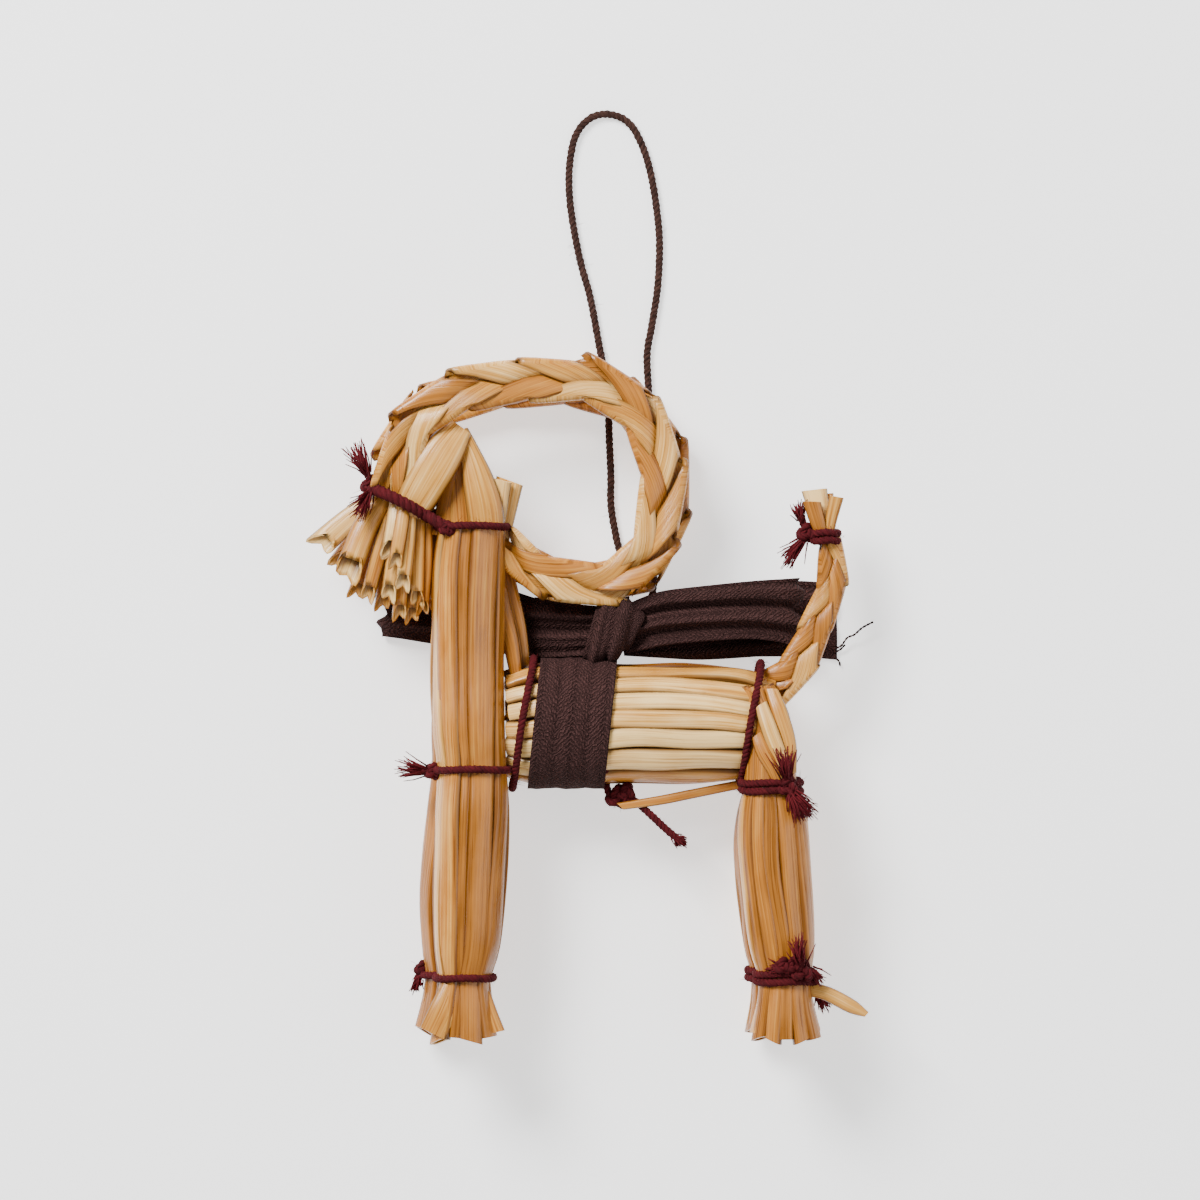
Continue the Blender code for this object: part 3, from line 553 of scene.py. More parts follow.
@dataclass(frozen=True)
class StrawFinish:
    """Dried straw: satin, finely ribbed along its length, from orange-brown to cream, with painted shade in
    its hollows, on the cores and between straws.
    """

    deep: tuple[float, ...] = (0.085, 0.024, 0.0016)
    brown: tuple[float, ...] = (0.25, 0.084, 0.0055)
    tan: tuple[float, ...] = (0.45, 0.164, 0.021)
    gold: tuple[float, ...] = (0.64, 0.305, 0.055)
    cream: tuple[float, ...] = (0.95, 0.63, 0.24)
    # The painted-shade colour of the hollows and the bundles' cores
    dark: tuple[float, ...] = (0.012, 0.0035, 0.0008)
    ribs: float = 3.1
    roughness: float = 0.30

    def make(self) -> bpy.types.Material:
        """The material.

        Returns:
            The material.
        """
        palette = Palette("dry_straw", Coat_Weight=0.05, Coat_Roughness=0.3, Specular_IOR_Level=0.42)
        around, along, seed = palette.attribute("lie")
        tone, shade, edge = palette.attribute("tint")
        ribs = palette.noise(around * self.ribs, along * 0.045, seed * 7.31, detail=2.0)
        streaks = palette.noise(around * 1.1, along * 0.02, seed * 3.17, detail=2.0)
        patches = palette.noise(around * 0.2, along * 0.09, seed * 11.3, detail=2.0)
        specks = palette.noise(around * 3.0, along * 0.7, seed * 5.1, detail=4.0)
        place = tone + (streaks - 0.5) * 0.38 + (patches - 0.5) * 0.38 + (ribs - 0.5) * 0.7
        colour = palette.ramp(place.clamped(), (
            (0.0, self.deep), (0.25, self.brown), (0.5, self.tan), (0.72, self.gold), (1.0, self.cream)))
        line = ((0.40 - ribs) * 7.0).clamped() * 0.45 + ((0.36 - specks) * 8.0).clamped() * 0.35
        colour = palette.blend(line.clamped(), colour, (*self.brown, 1.0), "MULTIPLY")
        # Painted shade: the edges of every straw are darkened towards deep brown, for the shade in the gaps
        # between neighbouring straws
        colour = palette.blend((edge**7.0 * 0.95).clamped(), colour, (*self.deep, 1.0))
        # Painted shade: the shade channel darkens the colour towards near black, deep in hollows and on the
        # cores
        colour = palette.blend((shade * 0.94).clamped(), colour, (*self.dark, 1.0))
        palette.connect(colour, "Base Color")
        palette.connect((patches - 0.5) * 0.35 + (ribs - 0.5) * 0.25 + self.roughness, "Roughness")
        palette.bump(ribs * 0.7 + streaks * 0.5 + specks * 0.12, 0.55, 0.22 * MM)
        return palette.material


@dataclass(frozen=True)
class YarnFinish:
    """Twisted wool yarn or cord with fine fibres."""

    name: str
    dark: tuple[float, ...]
    light: tuple[float, ...]

    def make(self) -> bpy.types.Material:
        """The material.

        Returns:
            The material.
        """
        palette = Palette(self.name, Sheen_Weight=0.12, Sheen_Roughness=0.5, Specular_IOR_Level=0.12)
        palette.shader.inputs["Sheen Tint"].default_value = (*self.light, 1.0)
        around, along, seed = palette.attribute("lie")
        tone, _, _ = palette.attribute("tint")
        fibres = palette.noise(around * 9.0, along * 1.3, seed * 3.7, detail=4.0)
        patches = palette.noise(around * 0.5, along * 0.4, seed * 1.9)
        share = tone - 0.5 + (fibres - 0.5) * 1.5 + (patches - 0.5) * 0.8 + 0.5
        palette.connect(palette.ramp(share.clamped(), ((0.1, self.dark), (0.9, self.light))), "Base Color")
        palette.connect(fibres * 0.15 + 0.78, "Roughness")
        palette.bump(fibres, 0.6, 0.14 * MM)
        return palette.material


@dataclass(frozen=True)
class TapeFinish:
    """Cotton tape in a herringbone weave.

    Attributes:
        dark: Colour between the ridges, which is painted shade in the weave's grooves.
        light: Colour of the ridges.
        column: Width of a column of the weave in millimetres.
        pitch: Distance of its slanting ridges.
        thread: Distance of its threads.
    """

    dark: tuple[float, ...] = (0.012, 0.0048, 0.0046)
    light: tuple[float, ...] = (0.110, 0.050, 0.046)
    column: float = 2.9
    pitch: float = 0.92
    thread: float = 0.47

    def make(self) -> bpy.types.Material:
        """The material.

        Returns:
            The material.
        """
        palette = Palette("herringbone_tape", Sheen_Weight=0.1, Sheen_Roughness=0.5, Specular_IOR_Level=0.1)
        palette.shader.inputs["Sheen Tint"].default_value = (*self.light, 1.0)
        across, along, _ = palette.attribute("lie")
        wander = palette.noise(across * 0.9, along * 0.9, 0.0, detail=3.0)
        zigzag = (across / self.column).maths("PINGPONG", 1.0) * self.column
        phase = (along + zigzag * 1.15 + wander * 2.4) * (FULL_TURN / self.pitch)
        ridge = phase.sine() * 0.5 + 0.5
        threads = (across * (FULL_TURN / self.thread)).sine() * 0.5 + 0.5
        fibres = palette.noise(across * 6.0, along * 6.0, 3.0, detail=4.0)
        dome = (across * (math.pi / self.column)).sine().maths("ABSOLUTE")
        height = ridge * 0.6 + threads * ridge * 0.3 + fibres * 0.6 + dome * 0.7
        # Painted light and shade: ridges and the middles of the columns are painted lighter and the grooves
        # between them darker; the fibre blotches are the tape's own colour
        share = (ridge * 0.5 + fibres * 0.5) * 0.8 + (fibres - 0.5) * 1.3 + dome * 0.12 - 0.08
        palette.connect(palette.ramp(share.clamped(), ((0.0, self.dark), (0.95, self.light))), "Base Color")
        palette.connect(fibres * 0.12 + 0.82, "Roughness")
        palette.bump(height, 0.95, 0.55 * MM)
        return palette.material


@dataclass(frozen=True)
class FloorFinish:
    """A plain pale floor."""

    colour: tuple[float, ...] = (0.86, 0.86, 0.86)
    glow: float = 1.3

    def make(self) -> bpy.types.Material:
        """The material.

        Returns:
            The material.
        """
        palette = Palette("pale_floor", Roughness=0.9, Specular_IOR_Level=0.1, Emission_Strength=self.glow)
        palette.shader.inputs["Base Color"].default_value = (*self.colour, 1.0)
        palette.shader.inputs["Emission Color"].default_value = (*self.colour, 1.0)
        return palette.material


@dataclass
class Finishes:
    """All the finishes, made once."""

    straw: bpy.types.Material
    yarn: bpy.types.Material
    tape: bpy.types.Material
    cord: bpy.types.Material

    @classmethod
    def make(cls) -> "Finishes":
        """Make every finish."""
        return cls(
            StrawFinish().make(),
            YarnFinish("burgundy_wool", (0.018, 0.0018, 0.0028), (0.105, 0.0090, 0.0125)).make(),
            TapeFinish().make(),
            YarnFinish("brown_twine", (0.012, 0.005, 0.004), (0.085, 0.040, 0.030)).make(),
        )


@dataclass
class Studio:
    """Camera, lights and floor.

    Attributes:
        distance: From the camera to the ornament's middle height, in metres.
        image: Width of the photograph in pixels.
        level: The ornament's middle height, in millimetres.
        sensor: Width of the camera's sensor, in millimetres.
        floor_size: Width of the floor, in metres.
        surroundings: How bright the white surroundings are.
        lamps: Name, place, size and power of each lamp.
    """

    distance: float = 1.30
    image: float = 1200.0
    level: float = 11.0
    sensor: float = 36.0
    floor_size: float = 6.0
    surroundings: float = 0.32
    lamps: Sequence[tuple[str, tuple[float, float, float], float, float]] = (
        ("key", (-0.45, 0.60, 0.70), 0.40, 22.0), ("fill", (0.85, 0.1, 0.8), 0.8, 4.5),
        ("front", (0.0, -0.9, 0.5), 0.8, 2.0),
    )

    def place_camera(self) -> None:
        """Look straight down on the lying ornament, as the photograph does."""
        data = bpy.data.cameras.new("camera")
        data.sensor_width = self.sensor
        data.lens = self.sensor / 2 * self.distance / (self.image * PIXEL / 2)
        data.clip_end = 20.0
        camera = bpy.data.objects.new("camera", data)
        camera.location = at(self.image / 2, self.image / 2, self.level) + UP * self.distance
        bpy.context.scene.collection.objects.link(camera)
        bpy.context.scene.camera = camera

    def light(self, name: str, place: tuple[float, float, float], size: float, power: float) -> None:
        """Add one soft area light that looks at the ornament.

        Args:
            name: Its name.
            place: Where it is, in metres.
            size: How wide it is.
            power: How strong it is, in watts.
        """
        data = bpy.data.lights.new(name, "AREA")
        data.size = size
        data.energy = power
        lamp = bpy.data.objects.new(name, data)
        lamp.location = place
        lamp.rotation_euler = (-Vector(place)).to_track_quat("-Z", "Y").to_euler()
        bpy.context.scene.collection.objects.link(lamp)

    def build(self) -> None:
        """Put up the lights, the pale surroundings and the floor."""
        for lamp in self.lamps:
            self.light(*lamp)
        world = bpy.data.worlds.new("studio")
        world.use_nodes = True
        backdrop = world.node_tree.nodes["Background"]
        backdrop.inputs["Color"].default_value = (1.0, 1.0, 1.0, 1.0)
        backdrop.inputs["Strength"].default_value = self.surroundings
        bpy.context.scene.world = world
        shape = bmesh.new()
        bmesh.ops.create_grid(shape, x_segments=1, y_segments=1, size=self.floor_size / 2)
        mesh = bpy.data.meshes.new("floor")
        shape.to_mesh(mesh)
        shape.free()
        mesh.materials.append(FloorFinish().make())
        floor = bpy.data.objects.new("floor", mesh)
        bpy.context.scene.collection.objects.link(floor)


def straw_along(
    rows: Sequence[Row], rng: random.Random, thickness: float = 1.5, tone: float = 0.5, step: float = 1.3,
    facing: Vector = UP, **options: Any,
) -> bmesh.types.BMesh:
    """A straw through rows of pixel x, pixel y, depth, width in millimetres and tilt in degrees.

    Args:
        rows: The rows; the tilt may be left out.
        rng: Gives its pattern.
        thickness: Its thickness in millimetres.
        tone: How pale it is.
        step: Distance of its rings in millimetres.
        facing: Where its flat side faces at no tilt.
        options: Further fields of the tube.

    Returns:
        Its mesh.
    """
    full = [[*row, 0.0][:5] for row in rows]
    lines = even_rows(pixel_rows(full), step * MM)
    points = [Vector(line[:3]) for line in lines]
    stations = []
    for point, way, line in zip(points, directions(points), lines):
        normal = Matrix.Rotation(math.radians(line[4]), 3, way) @ facing
        stations.append(Station(point, normal, line[3] * MM, thickness * MM))
    return Tube(stations, seed=rng.uniform(0, 50), tone=tone, **options).build()


@dataclass
class Oval:
    """A cut through a bundle: its middle and half sizes, across and up."""

    centre: Vector
    across: Vector
    half_width: float
    half_depth: float

    def point(self, angle: float, sink: float) -> Vector:
        """A point of the oval, sunk below it; the angle is in degrees from across towards the camera."""
        turn = math.radians(angle)
        side = self.across * (self.half_width - sink) * math.cos(turn)
        return self.centre + side + UP * (self.half_depth - sink) * math.sin(turn)

    def normal(self, angle: float) -> Vector:
        """The way out of the oval at an angle."""
        turn = math.radians(angle)
        way = self.across * math.cos(turn) / self.half_width + UP * math.sin(turn) / self.half_depth
        return way.normalized()


@dataclass
class BundleStraw:
    """A straw of a bundle.

    Attributes:
        angles: Where it lies on the oval, in degrees, read from the bundle's start to its end.
        widths: Its width in millimetres along it.
        tone: How pale it is.
        start: Where it starts, as a share of the bundle; below 0 it stands out.
        end: Where it ends.
        sink: How far its middle lies below the outside, in millimetres.
        slants: How far its ends are cut at an angle.
    """

    angles: Sequence[float]
    widths: Sequence[float]
    tone: float = 0.5
    start: float = 0.0
    end: float = 1.0
    sink: float = 1.05
    slants: tuple[float, float] = (0.0, 0.0)


@dataclass
class Bundle:
    """Straws side by side round an oval that changes along its line.

    Attributes:
        ovals: The cuts, from the start to the end, with their shares along it.
        straws: The straws that are seen.
        thickness: Thickness of a straw in millimetres.
        step: Distance of the rings in millimetres.
        seed: Sets the small irregularities.
        low: The lowest height that a straw's middle may have.
        spread: How wide the straws are, as a share of the widths given.
        filled: Length at each end that is filled with straws and not with the core, in millimetres.
        core_rings: Steps of the core, a tube painted with shade.
        inner: The circles of short straws that fill an end: their depth in millimetres and their count.
        segments: Corners of a straw's ring.
        squareness: How flat a straw is; see Tube.
    """

    ovals: Sequence[tuple[float, Oval]]
    straws: Sequence[BundleStraw]
    thickness: float = 2.2
    step: float = 1.7
    seed: int = 1
    low: float = 1.1 * MM
    spread: float = 1.0
    filled: float = 5.0
    core_rings: int = 24
    inner: Sequence[tuple[float, int]] = ((3.2, 7), (5.0, 3))
    segments: int = 16
    squareness: float = 0.55

    def cut(self, share: float) -> Oval:
        """The oval at a share of the length, or a little past its ends.

        Args:
            share: The share of the length.

        Returns:
            The oval.
        """
        shares = [share for share, _ in self.ovals]
        last = len(shares) - 1
        index = 0
        while index < last - 1 and shares[index + 1] < share:
            index += 1
        rows = [[*o.centre, o.half_width, o.half_depth, *o.across] for _, o in self.ovals]
        place = index + (share - shares[index]) / (shares[index + 1] - shares[index])
        found = spline(rows, min(max(place, -0.3), last + 0.3))
        return Oval(Vector(found[:3]), Vector(found[5:8]).normalized(), found[3], found[4])

    def length(self) -> float:
        """The length of the bundle's line."""
        return line_length([oval.centre for _, oval in self.ovals])

    def build(self, piece: Piece) -> None:
        """Add every straw and the dark core, a tube painted with the shade between the straws, to a piece.

        Args:
            piece: What they are added to.
        """
        rng = random.Random(self.seed)
        for straw in self.straws:
            self.add_straw(piece, straw, rng)
        inside = self.filled * MM / self.length()
        self.fill_end(piece, rng.uniform(-0.01, 0.01), inside * 1.2, rng)
        self.fill_end(piece, 1.0 + rng.uniform(-0.01, 0.01), 1.0 - inside * 1.2, rng)
        core = []
        for k in range(self.core_rings + 1):
            oval = self.cut(mix(inside, 1.0 - inside, k / self.core_rings))
            core.append(Station(oval.centre, UP, oval.half_width * 1.66, oval.half_depth * 1.62))
        # Painted shade: the core is a dark tube that stands for the shaded inside of the bundle, seen in the
        # gaps between straws
        piece.add(Tube(core, tone=0.2, shade=0.75, segments=20, **ROUND).build())

    def add_straw(self, piece: Piece, straw: BundleStraw, rng: random.Random) -> None:
        """Add one straw with its own small irregularities.

        Args:
            piece: What it is added to.
            straw: The straw.
            rng: Gives the irregularities.
        """
        count = max(int(self.length() * abs(straw.end - straw.start) / (self.step * MM)), 4)
        drift, wave, wide = rng.uniform(0, 6.3), rng.uniform(1.2, 2.4), rng.uniform(0.96, 1.05)
        lift, crease = rng.uniform(-0.22, 0.18), rng.uniform(0.0, 0.12)
        stations = []
        for k in range(count + 1):
            share = mix(straw.start, straw.end, k / count)
            held = min(max(share, 0.0), 1.0)
            angle = spline([[a] for a in straw.angles], held * (len(straw.angles) - 1))[0]
            width = spline([[w] for w in straw.widths], held * (len(straw.widths) - 1))[0]
            angle += 1.0 * math.sin(drift + wave * 6.3 * held)
            oval = self.cut(share)
            sink = straw.sink + lift + 0.10 * math.sin(drift * 2 + wave * 9 * held)
            centre = oval.point(angle, sink * MM)
            centre.z = max(centre.z, self.low)
            turn = 5.0 * math.sin(drift * 3 + wave * 5 * held)
            full = width * wide * self.spread
            stations.append(Station(centre, oval.normal(angle + turn), full * MM, self.thickness * MM))
        tube = Tube(stations, seed=rng.uniform(0, 50), tone=straw.tone + rng.uniform(-0.05, 0.05),
                    slants=straw.slants, crease=crease, segments=self.segments, squareness=self.squareness)
        piece.add(tube.build())

    def fill_end(self, piece: Piece, first: float, last: float, rng: random.Random) -> None:
        """Fill one end of the bundle with short inner straws.

        Args:
            piece: What they are added to.
            first: Share of the length at their open ends.
            last: Share of the length at their inner ends.
            rng: Varies them.
        """
        turned = [rng.uniform(0, 50) for _ in self.inner]
        for (sink, count), begin in zip(self.inner, turned):
            for k in range(count):
                angle = begin + 360.0 * k / count
                stations = []
                for part in range(4):
                    oval = self.cut(mix(first, last, part / 3))
                    held = min(sink * MM, min(oval.half_width, oval.half_depth) - 0.4 * MM)
                    stations.append(Station(oval.point(angle, held), oval.normal(angle), 2.7 * MM, 1.9 * MM))
                tube = Tube(stations, seed=rng.uniform(0, 50), tone=rng.uniform(0.35, 0.75),
                            slants=(rng.uniform(-0.5, 0.5), 0.0))
                piece.add(tube.build())


def around(first: float, last: float, count: int, width: float, rng: random.Random) -> list[BundleStraw]:
    """Straws at equal angles, for the sides that the photograph doesn't show.

    Args:
        first: The first one's angle.
        last: The last one's angle.
        count: How many there are.
        width: Their width in millimetres.
        rng: Varies their places, tones and ends.

    Returns:
        The straws.
    """
    found = []
    for k in range(count):
        angle = mix(first, last, k / (count - 1)) + rng.uniform(-3, 3)
        tone, start = rng.uniform(0.3, 0.75), rng.uniform(-0.012, 0.012)
        angles = (angle, angle + rng.uniform(-3, 3), angle)
        slants = (rng.uniform(-0.5, 0.5), rng.uniform(-0.3, 0.3))
        found.append(BundleStraw(angles, (width,) * 3, tone, start, slants=slants))
    return found


@dataclass
class Plait:
    """Three flat straws that cross over and under each other and fold over at the edges.

    Attributes:
        rows: Its line as pixel x, pixel y and depth.
        half: How far from the middle the straws fold, in millimetres.
        lift: How far a straw lies above or below the middle.
        pitch: Length in which a straw comes back to its place.
        skew: Share of the pitch that a straw takes to cross to the right.
        width: Width of a straw.
        thickness: Its thickness.
        tones: How pale the three straws are.
        narrow: Width that is left at the end, as a share.
        gather: Length at each end in which the plait is drawn together, in millimetres.
        start: Where the first straw starts, as a share of the pitch.
        seed: Sets the small irregularities.
        drawn: Size of the plait at its ends, as a share.
        past: How far the straws stand out past its ends, in millimetres.
        arch: How high a crossing straw arches, in millimetres.
        shares: Where a crossing straw has its rings, as shares of the crossing.
        bends: Where a fold has its rings, in degrees.
        points: The line, closely spaced.
        ways: Its directions.
        length: Its length in millimetres.
    """

    rows: Sequence[Row]
    half: float = 3.0
    lift: float = 0.72
    pitch: float = 37.0
    skew: float = 0.42
    width: float = 4.3
    thickness: float = 1.0
    tones: tuple[float, float, float] = (0.85, 0.5, 0.65)
    narrow: float = 1.0
    gather: float = 6.0
    start: float = 0.0
    seed: int = 3
    drawn: float = 0.62
    past: float = 1.2
    arch: float = 0.35
    shares: Sequence[float] = (
        0.0, 0.07, 0.15, 0.25, 0.33, 0.41, 0.46, 0.5, 0.54, 0.59, 0.67, 0.75, 0.85, 0.93, 1.0)
    bends: Sequence[float] = (36, 72, 108, 144)
    points: list[Vector] = field(init=False)
    ways: list[Vector] = field(init=False)
    length: float = field(init=False)

    def __post_init__(self) -> None:
        """Measure the line."""
        self.points = [Vector(line[:3]) for line in even_rows(pixel_rows(self.rows), 0.5 * MM)]
        self.ways = directions(self.points)
        self.length = line_length(self.points) / MM

    def build(self, piece: Piece) -> None:
        """Add the three straws to a piece.

        Args:
            piece: What they are added to.
        """
        rng = random.Random(self.seed)
        for strand, tone in enumerate(self.tones):
            offset = self.start + strand / 3
            first, last = 2 * int(offset), 2 * int(offset + self.length / self.pitch) + 2
            swings = [rng.uniform(0.88, 1.08) for _ in range(last + 2)]
            stations = []
            for turn in range(first, last):
                width = self.width * rng.uniform(0.9, 1.08)
                tilt = rng.uniform(0.03, 0.2)
                begin, end = (self.place_of(t) - offset * self.pitch for t in (turn, turn + 1))
                for share in self.shares:
                    reach = mix(begin, end, share)
                    if 0.0 <= reach <= self.length:
                        swing = mix(-swings[turn], swings[turn + 1], share)
                        stations.append(self.crossing(turn, share, reach, width, tilt, swing))
                if 0.0 <= end <= self.length:
                    stations += [self.fold(turn, bend, end, width, swings[turn + 1]) for bend in self.bends]
            tube = Tube(stations, seed=rng.uniform(0, 50), tone=tone, segments=14, squareness=0.45)
            piece.add(tube.build())

    def place_of(self, turn: int) -> float:
        """The distance at which a straw that starts at 0 has crossed a number of times."""
        return self.pitch * (turn // 2 + turn % 2 * self.skew)

    def size(self, reach: float) -> float:
        """How wide the plait is at a distance, as a share."""
        share = min(reach, self.length - reach, self.gather) / self.gather
        gathered = mix(self.drawn, 1.0, math.sin(share * math.pi / 2))
        return gathered * mix(1.0, self.narrow, reach / self.length)

    def frame(self, reach: float) -> tuple[Vector, Vector, Vector]:
        """The middle, the direction and the sideways direction at a distance.

        Args:
            reach: The distance in millimetres.

        Returns:
            The three of them.
        """
        place = min(max(reach / self.length, 0.0), 1.0) * (len(self.points) - 1)
        index = min(int(place), len(self.points) - 2)
        share = place - index
        way = self.ways[index].lerp(self.ways[index + 1], share).normalized()
        return self.points[index].lerp(self.points[index + 1], share), way, way.cross(UP).normalized()

    def lean(self, turn: int, size: float) -> float:
        """The angle between the plait and a straw that crosses it."""
        share = self.skew if turn % 2 == 0 else 1 - self.skew
        return math.atan2(2 * self.half * size, self.pitch * share)

    def held(self, full: float, reach: float) -> float:
        """A length along the plait that doesn't stand out past its ends."""
        return min(full, 2 * (min(reach, self.length - reach) + self.past))

    def crossing(
        self, turn: int, share: float, reach: float, width: float, tilt: float, swing: float
    ) -> Station:
        """A place where a straw crosses from one edge to the other.

        Args:
            turn: How many times it has crossed.
            share: How far it has crossed.
            reach: Distance along the plait in millimetres.
            width: Its width in millimetres.
            tilt: How much higher its front edge lies.
            swing: How far to the side it lies, from -1 to 1.

        Returns:
            The station.
        """
        sign = 1 if turn % 2 == 0 else -1
        centre, way, side = self.frame(reach)
        size = self.size(reach)
        lean, other = self.lean(turn, size), self.lean(turn + 1, size)
        inner = min(share, 1 - share) / 0.28
        turned = other * min(inner, 1.0) ** 0.8
        level = min(max(1.9 * math.cos(math.pi * share), -1.0), 1.0)
        arch = self.arch * math.sin(math.pi * share) * (1 if share < 0.5 else -1)
        place = centre + side * sign * self.half * size * swing * MM
        place = place + UP * (self.lift * level + arch) * MM
        wide = way * math.cos(turned) - side * sign * math.sin(turned)
        wide = (wide + UP * tilt * math.sin(math.pi * share)).normalized()
        full = self.held(width * size / math.sin(lean + turned), reach)
        return Station(place, UP * sign, full * MM, self.thickness * MM, wide)

    def fold(self, turn: int, bend: float, reach: float, width: float, swing: float) -> Station:
        """A place where a straw folds over at the edge, bend degrees round.

        Args:
            turn: How many times it has crossed.
            bend: How far round the fold it is, in degrees.
            reach: Distance along the plait in millimetres.
            width: Its width in millimetres.
            swing: How far to the side it lies, as a share.

        Returns:
            The station.
        """
        sign = 1 if turn % 2 == 0 else -1
        centre, way, side = self.frame(reach)
        size = self.size(reach)
        turned = math.radians(bend)
        out = self.half * size * swing + self.lift * 0.7 * math.sin(turned)
        place = centre + (side * sign * out - UP * self.lift * math.cos(turned)) * MM
        normal = UP * sign * math.cos(turned) - side * math.sin(turned)
        wide = Matrix.Rotation(math.radians(5.0) * sign, 3, UP) @ way
        angle = mix(self.lean(turn, size), self.lean(turn + 1, size), bend / 180)
        full = self.held(width * size / math.sin(angle), reach)
        return Station(place, normal, full * MM, self.thickness * MM, wide)


@dataclass
class Yarn:
    """Twisted yarn along a path.

    Attributes:
        radius: Its radius in metres.
        plies: How many strands are twisted together.
        pitch: Length of one turn of the twist.
        sides: Corners of a strand.
        fuzz: Loose fibres per metre.
        tone: How light it is.
        seed: Sets the small irregularities.
        top: The greatest height of a fibre.
        brush_fibres: Fibres of a frayed end.
        ring_points: Steps of a turn that overlaps its start a little.
        rng: The random numbers, which go on from one length of yarn to the next.
    """

    radius: float = 0.72 * MM
    plies: int = 3
    pitch: float = 2.6 * MM
    sides: int = 6
    fuzz: float = 1500.0
    tone: float = 0.5
    seed: int = 5
    top: float = 25.3 * MM
    brush_fibres: int = 64
    ring_points: int = 40
    rng: random.Random = field(init=False)

    def __post_init__(self) -> None:
        """Start the random numbers."""
        self.rng = random.Random(self.seed)

    def along(self, piece: Piece, points: Sequence[Vector], fray: float = 0.0) -> None:
        """Add yarn along a line of points.

        Args:
            piece: What it is added to.
            points: The points in metres.
            fray: Length of the brush of fibres at the end, in metres.
        """
        rows = even_rows([list(p) for p in points], self.pitch / 8)
        middle = [Vector(row) for row in rows]
        ways = directions(middle)
        sides = self.carried(ways)
        step = (middle[1] - middle[0]).length
        for ply in range(self.plies):
            stations = []
            for k, (point, way, side) in enumerate(zip(middle, ways, sides)):
                turn = Matrix.Rotation(FULL_TURN * (k * step / self.pitch + ply / self.plies), 3, way)
                out = turn @ side
                wide = self.radius * 1.12 * (1.0 + 0.06 * math.sin(k * 0.9 + ply))
                stations.append(Station(point + out * self.radius * 0.48, out, wide, wide))
            tube = Tube(stations, seed=self.rng.uniform(0, 50), tone=self.tone, segments=self.sides, **ROUND)
            piece.add(tube.build())
        length = step * (len(middle) - 1)
        for _ in range(int(length * self.fuzz)):
            k = self.rng.randrange(len(middle) - 1)
            out = Matrix.Rotation(self.rng.uniform(0, 6.28), 3, ways[k]) @ sides[k]
            lean = ways[k] * self.rng.uniform(-1.2, 1.2)
            begin = middle[k] + out * self.radius * 0.8
            self.fibre(piece, begin, out + lean, self.rng.uniform(0.4, 1.3) * MM)
        if fray > 0:
            self.brush(piece, middle[-1], ways[-1], fray)

    @staticmethod
    def carried(ways: Sequence[Vector]) -> list[Vector]:
        """A direction square to a line that turns with it as little as it can.

        Args:
            ways: The line's directions.

        Returns:
            The direction at each of them.
        """
        side = ways[0].orthogonal().normalized()
        found = []
        for way in ways:
            side = (side - way * side.dot(way)).normalized()
            found.append(side)
        return found

    def fibre(
        self, piece: Piece, start: Vector, way: Vector, length: float, thick: float = 0.07 * MM,
        curl: float = 0.5,
    ) -> None:
        """Add one thin bent fibre.

        Args:
            piece: What it is added to.
            start: Where it starts.
            way: Where it points.
            length: Its length in metres.
            thick: Its thickness in metres.
            curl: How much it may bend.
        """
        way = way.normalized()
        bend = Vector([self.rng.uniform(-curl, curl) for _ in range(3)])
        points = [start, start + (way + bend * 0.3) * length * 0.5, start + (way + bend) * length]
        normal = bend.cross(way) + UP * 0.01
        stations = []
        for point, share in zip(points, (1.3, 0.9, 0.5)):
            point.z = min(max(point.z, 0.1 * MM), self.top)
            stations.append(Station(point, normal, thick * share, thick * share))
        tube = Tube(stations, seed=self.rng.uniform(0, 50), tone=self.tone + 0.4, segments=3, **ROUND)
        piece.add(tube.build())

    def brush(self, piece: Piece, start: Vector, way: Vector, length: float) -> None:
        """Add the fibres of a frayed end.

        Args:
            piece: What they are added to.
            start: Where the yarn ends.
            way: Its direction there.
            length: Length of the fibres in metres.
        """
        for _ in range(self.brush_fibres):
            spread = Vector([self.rng.gauss(0, 0.17) for _ in range(3)])
            begin = start - way * self.rng.uniform(0.2 * MM, 1.4 * MM) + spread * self.radius * 3.0
            self.fibre(piece, begin, way + spread, length * self.rng.uniform(0.75, 1.0), 0.3 * MM, 0.2)

    def ring(
        self, piece: Piece, oval: Oval, lean: float = 0.0, turns: int = 1, squareness: float = 1.0
    ) -> None:
        """Add turns of yarn round an oval.

        Args:
            piece: What it is added to.
            oval: What it is wound round.
            lean: How far it leans along the bundle, in metres.
            turns: How many turns lie side by side.
            squareness: Below 1 for a rounded box.
        """
        way = oval.across.cross(UP)
        for turn in range(turns):
            shift = (turn - (turns - 1) / 2) * self.radius * 1.9
            points = []
            for k in range(self.ring_points + 1):
                angle = math.radians(-90 + 369 * k / self.ring_points)
                c, s = rounded(angle, squareness)
                slip = shift + lean * c + 0.12 * MM * math.sin(3 * angle + turn)
                point = oval.centre + oval.across * (oval.half_width + self.radius * 0.8) * c + way * slip
                point.z += (oval.half_depth + self.radius * 0.8) * s
                point.z = max(point.z, self.radius)
                points.append(point)
            self.along(piece, points)

    def knot(self, piece: Piece, centre: Vector, size: float, normal: Vector = UP) -> None:
        """Add an overhand knot as a small trefoil.

        Args:
            piece: What it is added to.
            centre: Its middle.
            size: Its half width in metres.
            normal: Where it faces.
        """
        side = normal.orthogonal().normalized()
        other = normal.cross(side)
        points = []
        for k in range(37):
            t = FULL_TURN * k / 36
            x, y = math.sin(t) + 2 * math.sin(2 * t), math.cos(t) - 2 * math.cos(2 * t)
            points.append(centre + (side * x + other * y) * size / 3 - normal * math.sin(3 * t) * size * 0.55)
        self.along(piece, points)


